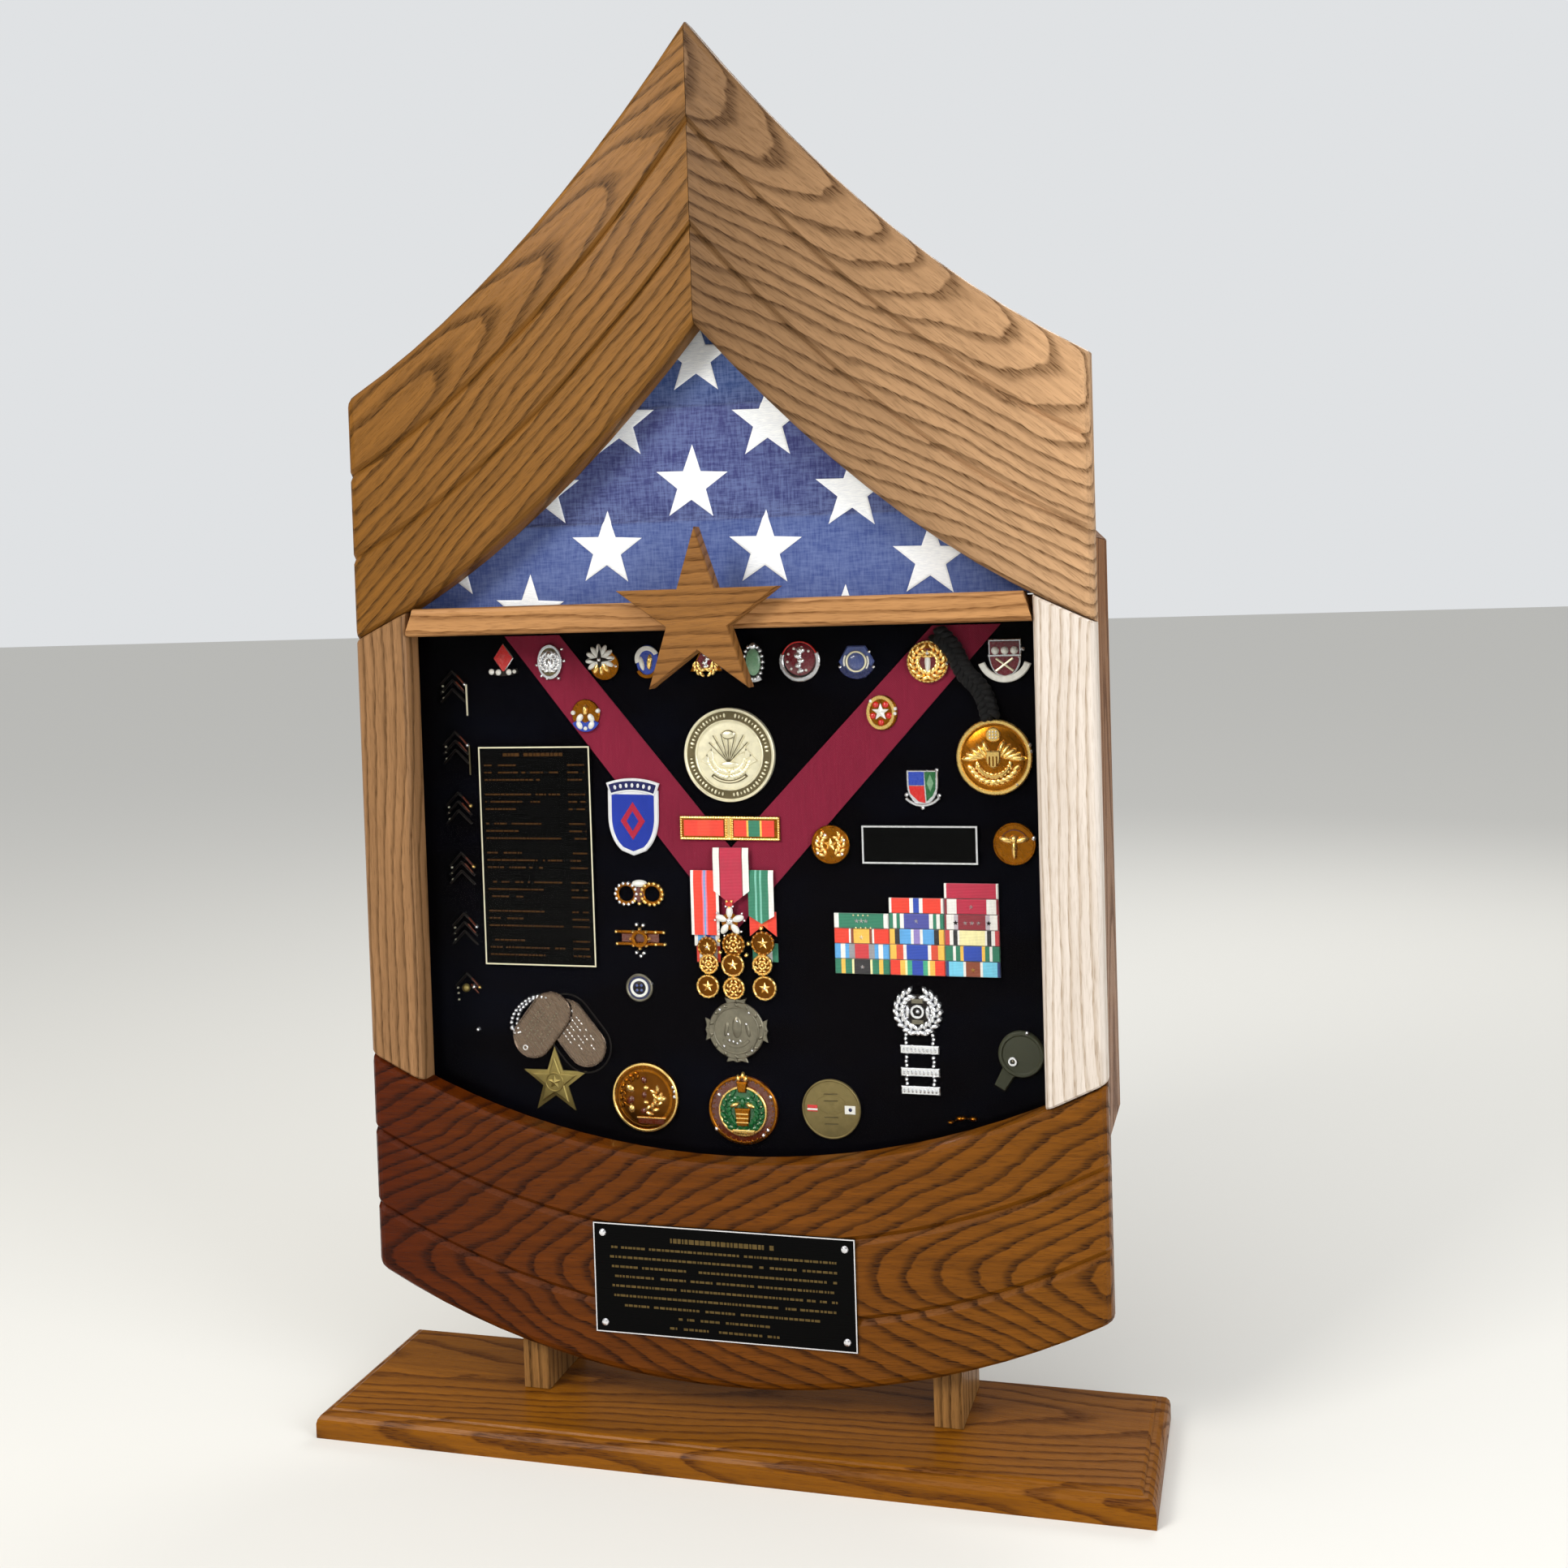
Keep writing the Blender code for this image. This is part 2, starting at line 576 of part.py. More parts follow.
def build_insignia(brass, steel):
    """Generic medals, plates and badges on the board. Pieces over the sash stand clear of it."""
    over_sash = 0.0011
    black = finish("engraved plate", (0.015, 0.013, 0.012), 0.3)
    bronze = finish("antique bronze", (0.42, 0.36, 0.22), 0.4, 1.0)
    ribbon = finish("ribbon silk", (0.45, 0.05, 0.05), 0.7)
    disc("round_medallion", (0.0015, 0.4345), 0.0305, 0.0035, bronze)
    disc("gold_coin", (-0.0640, 0.2085), 0.0230, 0.0030, brass)
    on_felt("brass_star", star_outline((-0.1280, 0.2160), 0.0235), 0.0030, brass)
    on_felt("history_plate", rectangle(-0.1750, 0.2940, -0.0950, 0.4410), 0.0015, black, over_sash)
    on_felt("name_plate", rectangle(0.0875, 0.3650, 0.1615, 0.3895), 0.0020, black, over_sash)
    on_felt("shield_patch", shield_outline((-0.0660, 0.3870), 0.0350, 0.0430), 0.0020,
            finish("patch twill", (0.02, 0.05, 0.45), 0.8), over_sash)
    on_felt("ribbon_bar", rectangle(-0.0325, 0.3790, 0.0350, 0.3955), 0.0030, ribbon, over_sash)
    medals = [(-0.0290, 0.2790), (0.0290, 0.2790), (0.0290, 0.3600), (0.0120, 0.3600), (0.0120, 0.3740),
              (-0.0110, 0.3740), (-0.0110, 0.3600), (-0.0290, 0.3600)]
    on_felt("medal_row", medals, 0.0040, ribbon, over_sash)
    rack = [(0.0675, 0.2945), (0.1730, 0.2945), (0.1730, 0.3530), (0.1380, 0.3530), (0.1380, 0.3430),
            (0.1030, 0.3430), (0.1030, 0.3330), (0.0675, 0.3330)]
    on_felt("ribbon_rack", rack, 0.0030, ribbon)
    tag_size = (0.0505, 0.0285)
    tags = on_felt("dog_tags", stadium((-0.1360, 0.2540), *tag_size, 0.9), 0.0012, steel)
    second = on_felt("second tag", stadium((-0.1120, 0.2490), *tag_size, -0.9), 0.0012, steel, 0.0007)
    join(tags, second)


# Route of the plaited cord pinned to the upper right of the board, as x and z
CORD_ROUTE = ((0.1390, 0.5105), (0.1450, 0.5050), (0.1500, 0.4985), (0.1535, 0.4905), (0.1575, 0.4835),
              (0.1630, 0.4780), (0.1675, 0.4715), (0.1700, 0.4640), (0.1715, 0.4565))
CORD_RADIUS = 0.0028
CORD_STANDOFF = 0.0012       # the cord lies over the sash


def smooth_route(points, steps):
    """Catmull-Rom curve through the points."""
    ends = [points[0]] + list(points) + [points[-1]]
    curve = []
    for i in range(1, len(ends) - 2):
        a, b, c, d = (Vector(ends[i + k]) for k in (-1, 0, 1, 2))
        for step in range(steps):
            t = step / steps
            curve.append(0.5 * (2 * b + (c - a) * t + (2 * a - 5 * b + 4 * c - d) * t ** 2
                                + (3 * b - a - 3 * c + d) * t ** 3))
    curve.append(Vector(points[-1]))
    return curve


def build_cord():
    depth = FELT - CORD_STANDOFF - CORD_RADIUS
    curve = bpy.data.curves.new("shoulder_cord", "CURVE")
    curve.dimensions = "3D"
    curve.bevel_depth = CORD_RADIUS
    curve.bevel_resolution = 2
    curve.use_fill_caps = True
    route = smooth_route(CORD_ROUTE, 2)
    spline = curve.splines.new("POLY")
    spline.points.add(len(route) - 1)
    for point, (x, z) in zip(spline.points, route):
        point.co = (x, depth, z, 1.0)
    obj = bpy.data.objects.new("shoulder_cord", curve)
    bpy.context.scene.collection.objects.link(obj)
    curve.materials.append(finish("black braid", (0.01, 0.01, 0.01), 0.8))


def main():
    clear_scene()
    oak = finish("oiled oak", (0.42, 0.24, 0.10), 0.4)
    ply = finish("oak plywood", (0.50, 0.33, 0.17), 0.6)
    brass = finish("brass", (0.72, 0.53, 0.22), 0.3, 1.0)
    steel = finish("steel", (0.60, 0.60, 0.60), 0.3, 1.0)
    build_base(oak)
    build_face(oak)
    build_divider_rail(oak)
    build_star(oak)
    build_case(oak)
    build_glazing()
    build_display_board(oak)
    build_flag()
    build_flag_cover(ply, brass)
    build_rear_door(ply, brass, steel)
    build_plaque(brass)
    build_sash()
    build_insignia(brass, steel)
    build_cord()


main()
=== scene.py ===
"""Looks of the folded flag display case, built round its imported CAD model. Metres, +Z up, front to -Y."""
from math import cos, pi, radians, sin, sqrt, tau

import bmesh
import bpy
import numpy as np
from mathutils import Matrix, Vector, noise


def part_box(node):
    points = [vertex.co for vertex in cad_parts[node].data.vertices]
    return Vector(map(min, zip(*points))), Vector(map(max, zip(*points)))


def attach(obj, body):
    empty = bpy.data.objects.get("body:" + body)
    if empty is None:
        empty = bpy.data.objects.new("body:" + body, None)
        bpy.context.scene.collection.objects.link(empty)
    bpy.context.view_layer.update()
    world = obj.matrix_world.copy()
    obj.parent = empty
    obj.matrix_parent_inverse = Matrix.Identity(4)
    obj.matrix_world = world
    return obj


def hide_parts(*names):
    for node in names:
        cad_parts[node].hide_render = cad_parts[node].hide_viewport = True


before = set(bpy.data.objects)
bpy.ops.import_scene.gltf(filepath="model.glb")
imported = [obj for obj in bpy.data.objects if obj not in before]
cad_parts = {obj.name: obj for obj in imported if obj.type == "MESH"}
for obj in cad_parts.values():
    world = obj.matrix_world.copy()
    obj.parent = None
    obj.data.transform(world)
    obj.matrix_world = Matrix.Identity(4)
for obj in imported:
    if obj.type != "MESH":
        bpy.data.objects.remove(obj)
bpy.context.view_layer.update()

MM = 0.001
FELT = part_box("display_board")[0].y          # front of the display board
RNG = np.random.default_rng(7)

# Camera, as a pinhole with its optical axis above the picture's centre
CAMERA_PLACE = (0.3417, -1.0653, 0.5346)
CAMERA_YAW = 0.2725
CAMERA_PITCH = -0.0340
CAMERA_ROLL = -0.0309
CAMERA_LENS = 40.38
CAMERA_SHIFT_Y = -0.0806

ROOM_LIGHT = 0.26                 # strength of the room as a light
ROOM_SEEN = 0.80                  # strength of the room behind the object
FLOOR_REACH = 30.0


def srgb(*channels):
    """Linear colour from red, green and blue display values of 0 to 255."""
    return tuple(((c / 255 + 0.055) / 1.055) ** 2.4 if c > 10 else c / 255 / 12.92 for c in channels)


# ---------------------------------------------------------------- camera, light, floor

def make_camera():
    """A camera that looks along the yaw and pitch above and is rolled about its own axis."""
    level = Vector((cos(CAMERA_YAW), sin(CAMERA_YAW), 0.0))
    ahead = Vector((-level.y, level.x, 0.0))
    forward = ahead * cos(CAMERA_PITCH) + Vector((0, 0, sin(CAMERA_PITCH)))
    upright = level.cross(forward)
    right = level * cos(CAMERA_ROLL) + upright * sin(CAMERA_ROLL)
    up = upright * cos(CAMERA_ROLL) - level * sin(CAMERA_ROLL)
    data = bpy.data.cameras.new("camera")
    data.lens = CAMERA_LENS
    data.sensor_width = 36.0
    data.shift_y = CAMERA_SHIFT_Y
    camera = bpy.data.objects.new("camera", data)
    bpy.context.scene.collection.objects.link(camera)
    turn = Matrix((right, up, -forward)).transposed()
    camera.matrix_world = Matrix.Translation(CAMERA_PLACE) @ turn.to_4x4()
    bpy.context.scene.camera = camera


def area_light(name, place, target, size, power, colour):
    data = bpy.data.lights.new(name, "AREA")
    data.shape = "RECTANGLE"
    data.size, data.size_y = size
    data.energy = power
    data.color = colour
    light = bpy.data.objects.new(name, data)
    bpy.context.scene.collection.objects.link(light)
    light.location = place
    light.rotation_euler = (Vector(target) - Vector(place)).to_track_quat("-Z", "Y").to_euler()


def make_studio():
    """A pale room: three soft lamps, a wide weak sun, a floor and an even background."""
    scene = bpy.context.scene
    scene.view_settings.view_transform = "Standard"
    world = bpy.data.worlds.new("studio")
    scene.world = world
    world.use_nodes = True
    tree = world.node_tree
    sky = tree.nodes["Background"]
    sky.inputs["Color"].default_value = (0.93, 0.95, 0.97, 1.0)
    seen = tree.nodes.new("ShaderNodeLightPath").outputs["Is Camera Ray"]
    strength = tree.nodes.new("ShaderNodeMapRange")
    strength.inputs["To Min"].default_value = ROOM_LIGHT
    strength.inputs["To Max"].default_value = ROOM_SEEN
    tree.links.new(seen, strength.inputs["Value"])
    tree.links.new(strength.outputs[0], sky.inputs["Strength"])
    area_light("key", (-1.1, -1.9, 1.6), (0, 0, 0.45), (0.9, 0.9), 42, (1.0, 0.96, 0.90))
    area_light("fill", (1.7, -1.0, 0.9), (0, 0, 0.45), (1.1, 1.1), 24, (0.97, 0.98, 1.0))
    area_light("rim", (0.6, 1.9, 1.8), (0, 0, 0.5), (1.4, 1.0), 16, (1.0, 0.98, 0.95))
    data = bpy.data.lights.new("overhead", "SUN")
    data.energy = 1.5
    data.angle = radians(70)
    overhead = bpy.data.objects.new("overhead", data)
    scene.collection.objects.link(overhead)
    overhead.rotation_euler = (radians(22), radians(-8), 0)
    mesh = bpy.data.meshes.new("floor")
    corners = [(x, z, 0) for x, z in rectangle(2 * FLOOR_REACH, 2 * FLOOR_REACH)]
    mesh.from_pydata(corners, [], [(0, 1, 2, 3)])
    floor = bpy.data.objects.new("floor", mesh)
    scene.collection.objects.link(floor)
    matt = Nodes("pale floor")
    matt.set("Base Color", (*srgb(222, 221, 216), 1))
    matt.set("Roughness", 0.85)
    mesh.materials.append(matt.material)


# ---------------------------------------------------------------- material helpers

class Nodes:
    """Builds one material's node tree. A value may be a number, a colour or another node's output."""

    def __init__(self, name):
        self.material = bpy.data.materials.new(name)
        self.material.use_nodes = True
        self.tree = self.material.node_tree
        self.shader = self.tree.nodes["Principled BSDF"]
        self.output = self.tree.nodes["Material Output"]

    def feed(self, socket, value):
        if isinstance(value, bpy.types.NodeSocket):
            self.tree.links.new(value, socket)
        else:
            socket.default_value = value

    def add(self, kind, inputs=(), **settings):
        node = self.tree.nodes.new("ShaderNode" + kind)
        for key, value in settings.items():
            setattr(node, key, value)
        for key, value in dict(inputs).items():
            self.feed(node.inputs[key], value)
        return node

    def set(self, name, value):
        self.feed(self.shader.inputs[name], value)

    def maths(self, operation, *values):
        return self.add("Math", enumerate(values), operation=operation).outputs[0]

    def place(self, scale=(1, 1, 1), turn=(0, 0, 0)):
        """Object coordinates, turned and then scaled."""
        where = self.add("TexCoord").outputs["Object"]
        turned = self.add("Mapping", {"Vector": where, "Rotation": turn}).outputs[0]
        return self.add("Mapping", {"Vector": turned, "Scale": scale}).outputs[0]

    def noise(self, vector, scale, detail=3.0, roughness=0.55):
        inputs = {"Vector": vector, "Scale": scale, "Detail": detail, "Roughness": roughness}
        return self.add("TexNoise", inputs).outputs["Fac"]

    def ramp(self, value, stops, interpolation="LINEAR"):
        node = self.add("ValToRGB", {"Fac": value})
        node.color_ramp.interpolation = interpolation
        elements = node.color_ramp.elements
        while len(elements) < len(stops):
            elements.new(1.0)
        for element, (position, colour) in zip(elements, stops):
            element.position = position
            element.color = (*colour, 1.0) if isinstance(colour, tuple) else (colour, colour, colour, 1.0)
        return node.outputs["Color"]

    def mix(self, factor, first, second, blend="MIX"):
        node = self.add("Mix", data_type="RGBA", blend_type=blend)
        self.feed(node.inputs["Factor"], factor)
        for socket, value in ((node.inputs[6], first), (node.inputs[7], second)):
            self.feed(socket, (*value, 1.0) if isinstance(value, tuple) else value)
        return node.outputs[2]

    def bump(self, height, distance, strength=1.0):
        node = self.add("Bump", {"Height": height, "Distance": distance, "Strength": strength})
        self.set("Normal", node.outputs[0])


# ---------------------------------------------------------------- wood

WAVE_RINGS = 4.2                  # how far the slow waves of the grain shift a growth ring, in rings
RAGGED_RINGS = 0.42               # and its ragged edge


def oak(name, angle, heart, taper, spacing, light, dark, shade_fade=None):
    """Flat-sawn oak. The grain runs at an angle in the XZ plane. The growth rings are cones round the
    heart, a point across the grain and in depth. The last argument is (low x, high x, colour at low x):
    painted shade, a colour multiplied in that is strongest at low x and gone by high x."""
    n = Nodes(name)
    along, depth, across = n.add("SeparateXYZ", {"Vector": n.place(turn=(0, angle, 0))}).outputs
    wavy = n.noise(n.place((5, 14, 14), (0, angle, 0)), 1.0, 2.0, 0.45)
    ragged = n.noise(n.place((45, 150, 150), (0, angle, 0)), 1.0, 2.0, 0.6)
    off_across = n.maths("SUBTRACT", across, heart[0])
    off_depth = n.maths("SUBTRACT", depth, heart[1])
    squares = n.maths("MULTIPLY_ADD", off_across, off_across, n.maths("MULTIPLY", off_depth, off_depth))
    radius = n.maths("MULTIPLY_ADD", along, taper, n.maths("SQRT", squares))
    radius = n.maths("MULTIPLY_ADD", wavy, WAVE_RINGS * spacing, radius)
    radius = n.maths("MULTIPLY_ADD", ragged, RAGGED_RINGS * spacing, radius)
    ring = n.maths("FRACT", n.maths("DIVIDE", radius, spacing))
    early = n.ramp(ring, ((0.0, 0.05), (0.07, 1.0), (0.22, 0.80), (0.42, 0.16), (0.80, 0.0), (1.0, 0.05)))
    pores = n.noise(n.place((110, 1500, 1500), (0, angle, 0)), 1.0, 2.0, 0.5)
    pores = n.ramp(pores, ((0.50, 0.0), (0.66, 1.0)))
    streaks = n.noise(n.place((9, 240, 240), (0, angle, 0)), 1.0, 3.0, 0.6)
    clouds = n.noise(n.place((3, 11, 11), (0, angle, 0)), 1.0, 2.0, 0.5)
    dark_share = n.maths("MULTIPLY", early, n.maths("MULTIPLY_ADD", pores, 0.40, 0.68))
    fine_share = n.maths("MULTIPLY", pores, 0.30)
    share = n.maths("MAXIMUM", dark_share, fine_share)
    streaked = tuple(0.60 * a + 0.40 * b for a, b in zip(light, dark))
    base = n.mix(n.ramp(streaks, ((0.30, 0.0), (0.70, 1.0))), light, streaked)
    base = n.mix(n.ramp(clouds, ((0.35, 0.0), (0.68, 0.42))), base, tuple(c * 0.62 for c in light))
    colour = n.mix(n.maths("MULTIPLY", share, 0.92), base, dark)
    # Painted shade: the board's colour is multiplied by a colour that fades out from low x to high x
    if shade_fade:
        low, high, shade_colour = shade_fade
        x = n.add("SeparateXYZ", {"Vector": n.add("TexCoord").outputs["Object"]}).outputs["X"]
        reach = {"Value": x, "From Min": low, "From Max": high, "To Min": 1.0, "To Max": 0.0}
        fade = n.add("MapRange", reach)
        colour = n.mix(fade.outputs[0], colour, shade_colour, "MULTIPLY")
    n.set("Base Color", colour)
    n.set("Roughness", n.maths("MULTIPLY_ADD", share, 0.22, 0.33))
    n.set("Specular IOR Level", 0.07)
    n.set("Coat Weight", 0.05)
    n.set("Coat Roughness", 0.14)
    n.bump(n.maths("SUBTRACT", 1.0, n.maths("MULTIPLY", share, pores)), 0.00035, 0.8)
    return n.material


def dress_wood():
    """Every oak and plywood node gets its own board, cut from its own place in the log."""
    tan, tan_dark = srgb(160, 116, 66), srgb(62, 38, 14)
    olive, olive_dark = srgb(142, 98, 46), srgb(60, 38, 12)
    honey, honey_dark = srgb(138, 84, 14), srgb(64, 28, 2)
    pale, pale_dark = srgb(158, 118, 80), srgb(78, 52, 26)
    # bright and bright_dark, worn by the right stile, are painted highlight: near-white oak that stands in
    # for the strong light falling on that side
    bright, bright_dark = srgb(222, 212, 202), srgb(166, 146, 124)
    rust, rust_dark = srgb(126, 75, 16), srgb(30, 10, 1)
    sand, sand_dark = srgb(208, 166, 124), srgb(84, 54, 26)
    ply, ply_dark = srgb(176, 138, 98), srgb(138, 102, 68)
    umber, umber_dark = srgb(148, 102, 54), srgb(84, 52, 22)
    up = pi / 2
    boards = {
        "chevron_right": (radians(-41), (0.646, -0.054), 0.23, 0.0084, sand, sand_dark),
        "chevron_left": (radians(40), (0.638, -0.050), 0.10, 0.0070, olive, olive_dark),
        "rocker_panel": (radians(3), (0.115, -0.043), -0.50, 0.0118, rust, rust_dark),
        "stile_left": (up, (0.10, 0.05), 0.012, 0.0052, pale, pale_dark),
        "stile_right": (up, (-0.09, 0.06), -0.012, 0.0048, bright, bright_dark),
        "divider_rail": (0.0, (0.62, 0.03), 0.010, 0.0055, srgb(190, 140, 90), srgb(106, 66, 30)),
        "front_star": (radians(4), (0.43, 0.02), 0.045, 0.0062, umber, umber_dark),
        "base_plank": (0.0, (-0.035, 0.018), 0.055, 0.0066, honey, honey_dark),
        "post_left": (up, (0.20, 0.05), 0.02, 0.0045, tan, tan_dark),
        "post_right": (up, (-0.20, 0.05), 0.02, 0.0045, tan, tan_dark),
        "case_side_left": (up, (0.30, 0.02), 0.05, 0.0070, honey, honey_dark),
        "case_side_right": (up, (-0.30, 0.03), 0.05, 0.0070, honey, honey_dark),
        "case_roof_left": (radians(45), (0.62, 0.03), 0.04, 0.0070, honey, honey_dark),
        "case_roof_right": (radians(-45), (0.62, 0.03), 0.04, 0.0070, honey, honey_dark),
        "divider_shelf": (0.0, (0.47, 0.03), 0.03, 0.0060, honey, honey_dark),
        "case_bottom": (0.0, (0.10, 0.03), 0.03, 0.0060, honey, honey_dark),
        "board_spacer_left": (up, (0.28, 0.03), 0.02, 0.0060, pale, pale_dark),
        "board_spacer_right": (up, (-0.28, 0.03), 0.02, 0.0060, pale, pale_dark),
        "board_retainer_left": (up, (0.28, 0.00), 0.02, 0.0060, pale, pale_dark),
        "board_retainer_right": (up, (-0.28, 0.00), 0.02, 0.0060, pale, pale_dark),
        "rear_door": (up, (0.02, 0.24), 0.35, 0.0170, ply, ply_dark),
        "flag_cover": (up, (-0.03, 0.26), 0.35, 0.0170, ply, ply_dark),
    }
    # Painted shade across three boards: the rocker and the left chevron darken towards their left ends, and
    # the right chevron darkens towards the middle so that its pale right end reads as lit, standing in for
    # light that falls unevenly across the front
    shade_fades = {
        "rocker_panel": (-0.26, 0.20, (0.40, 0.14, 0.05)),
        "chevron_left": (-0.24, 0.02, (0.88, 0.82, 0.66)),
        "chevron_right": (0.0, 0.25, (0.33, 0.29, 0.23)),
    }
    for node, cutting in boards.items():
        wear(node, oak(node + " oak", *cutting, shade_fade=shade_fades.get(node)))


def wear(node, material):
    """Gives a CAD node its material."""
    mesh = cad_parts[node].data
    mesh.materials.clear()
    mesh.materials.append(material)


# ---------------------------------------------------------------- other materials

def metal(name, colour, roughness, dull=0.35, shade=0.55, metallic=1.0):
    """Cast or stamped metal: cloudy tone, fine scratches and a slightly uneven surface."""
    n = Nodes(name)
    tone = n.noise(n.place(), 260.0, 3.0)
    worn = tuple(c * shade for c in colour)
    n.set("Base Color", n.mix(n.ramp(tone, ((0.35, 0.0), (0.75, dull))), colour, worn))
    n.set("Metallic", metallic)
    scratches = n.noise(n.place((900, 300, 120), (0.3, 0.7, 0.2)), 1.0, 2.0)
    n.set("Roughness", n.maths("MULTIPLY_ADD", scratches, 0.22, roughness - 0.08))
    n.bump(n.noise(n.place(), 900.0, 2.0), 0.00006, 0.5)
    return n.material


def enamel(name, colour, roughness=0.2):
    """Glassy enamel or lacquer with a slightly uneven tone."""
    n = Nodes(name)
    tone = n.noise(n.place(), 420.0, 2.0)
    clouds = n.ramp(tone, ((0.3, 0.0), (0.8, 0.5)))
    n.set("Base Color", n.mix(clouds, colour, tuple(c * 0.6 for c in colour)))
    n.set("Roughness", n.maths("MULTIPLY_ADD", tone, 0.15, roughness))
    n.set("Coat Weight", 0.5)
    n.set("Coat Roughness", 0.08)
    n.bump(n.noise(n.place(), 300.0, 1.0), 0.00008, 0.4)
    return n.material


def woven(name, colour, thread=0.0006, sheen=0.3, roughness=0.85):
    """Plain weave: threads along X and Z."""
    n = Nodes(name)
    pitch = tau / thread
    split = n.add("SeparateXYZ", {"Vector": n.place()})
    warp = n.maths("SINE", n.maths("MULTIPLY", split.outputs["X"], pitch))
    weft = n.maths("SINE", n.maths("MULTIPLY", split.outputs["Z"], pitch))
    weave = n.maths("MULTIPLY", warp, weft)
    slubs = n.noise(n.place((700, 700, 60)), 1.0, 2.0)
    clouds = n.noise(n.place(), 22.0, 2.0)
    shade = n.maths("ADD", n.maths("MULTIPLY_ADD", weave, 0.10, n.maths("MULTIPLY", slubs, 0.5)),
                    n.maths("MULTIPLY", clouds, 0.3))
    n.set("Base Color", n.mix(n.ramp(shade, ((0.15, 0.0), (0.75, 1.0))), tuple(c * 0.72 for c in colour),
                              tuple(min(1.0, c * 1.18 + 0.004) for c in colour)))
    n.set("Roughness", roughness)
    n.set("Specular IOR Level", 0.2)
    n.set("Sheen Weight", sheen)
    n.set("Sheen Roughness", 0.45)
    n.bump(n.maths("ADD", weave, slubs), 0.00012, 0.7)
    return n.material


def striped(name, low, high, stripes):
    """Ribbed ribbon with stripes side by side from low to high x. stripes is [(colour, width), ...]."""
    n = Nodes(name)
    split = n.add("SeparateXYZ", {"Vector": n.place()})
    where = n.add("MapRange", {"Value": split.outputs["X"], "From Min": low, "From Max": high}).outputs[0]
    total = sum(width for _, width in stripes)
    stops, start = [], 0.0
    for colour, width in stripes:
        stops.append((start / total, colour))
        start += width
    colour = n.ramp(where, stops, "CONSTANT")
    rib = n.maths("SINE", n.maths("MULTIPLY", split.outputs["Z"], tau / 0.0007))
    tone = n.noise(n.place((500, 500, 120)), 1.0, 2.0)
    worn = n.mix(0.5, colour, (0.02, 0.02, 0.02))
    n.set("Base Color", n.mix(n.ramp(tone, ((0.3, 0.0), (0.8, 0.35))), colour, worn))
    n.set("Roughness", n.maths("MULTIPLY_ADD", rib, 0.08, 0.6))
    n.set("Sheen Weight", 0.35)
    n.bump(rib, 0.00012, 0.6)
    return n.material


def felt_material():
    """Black felt on the front of the board. Its edges and back are bare hardboard."""
    n = Nodes("black felt")
    depth = n.add("SeparateXYZ", {"Vector": n.place()}).outputs["Y"]
    bare = n.maths("GREATER_THAN", depth, FELT + 1.5 * MM)
    board = n.mix(n.noise(n.place(), 900.0, 3.0), srgb(92, 62, 38), srgb(122, 86, 54))
    fuzz = n.noise(n.place(), 2600.0, 3.0, 0.7)
    # Painted reflection: a faint blue mottle over the black felt stands in for the dim sheen and reflections
    # seen across the board
    reflection_mottle = n.noise(n.place((7, 7, 16)), 1.0, 3.0, 0.6)
    blue = n.ramp(reflection_mottle, ((0.45, 0.0), (0.75, 1.0)))
    n.set("Base Color", n.mix(bare, n.mix(blue, srgb(6, 5, 7), srgb(8, 9, 17)), board))
    n.set("Roughness", n.maths("MULTIPLY_ADD", fuzz, 0.1, 0.88))
    n.set("Specular IOR Level", 0.0)
    n.bump(fuzz, 0.0003, 0.6)
    return n.material


def glass_material():
    """Clear pane: see-through, with a faint mirror that grows at a glancing angle, alike from both sides."""
    n = Nodes("clear pane")
    clear = n.add("BsdfTransparent", {"Color": (0.985, 0.99, 0.985, 1.0)})
    shine = n.add("BsdfGlossy", {"Color": (1.0, 1.0, 1.0, 1.0), "Roughness": 0.02})
    glancing = n.maths("POWER", n.add("LayerWeight", {"Blend": 0.5}).outputs["Facing"], 5.0)
    mirror = n.maths("MULTIPLY_ADD", glancing, 0.45, 0.001)
    blend = n.add("MixShader", {0: mirror, 1: clear.outputs[0], 2: shine.outputs[0]})
    n.feed(n.output.inputs["Surface"], blend.outputs[0])
    n.tree.nodes.remove(n.shader)
    return n.material


def plate_material():
    """Black lacquer, finely brushed. The bright border of a plate is a piece of its own."""
    n = Nodes("black lacquer plate")
    dust = n.noise(n.place(), 1800.0, 2.0)
    brushed = n.noise(n.place((30, 2200, 2200)), 1.0, 2.0)
    n.set("Base Color", n.mix(n.ramp(dust, ((0.62, 0.0), (0.80, 0.5))), srgb(4, 4, 4), srgb(16, 14, 11)))
    n.set("Roughness", n.maths("MULTIPLY_ADD", brushed, 0.14, 0.22))
    n.set("Specular IOR Level", 0.04)
    n.bump(brushed, 0.00001, 0.3)
    return n.material


def plastic_material(name, colour):
    n = Nodes(name)
    grain = n.noise(n.place(), 1500.0, 2.0)
    specks = n.ramp(grain, ((0.3, 0.0), (0.8, 0.4)))
    n.set("Base Color", n.mix(specks, colour, tuple(c * 0.6 for c in colour)))
    n.set("Roughness", n.maths("MULTIPLY_ADD", grain, 0.15, 0.42))
    n.bump(grain, 0.00005, 0.5)
    return n.material


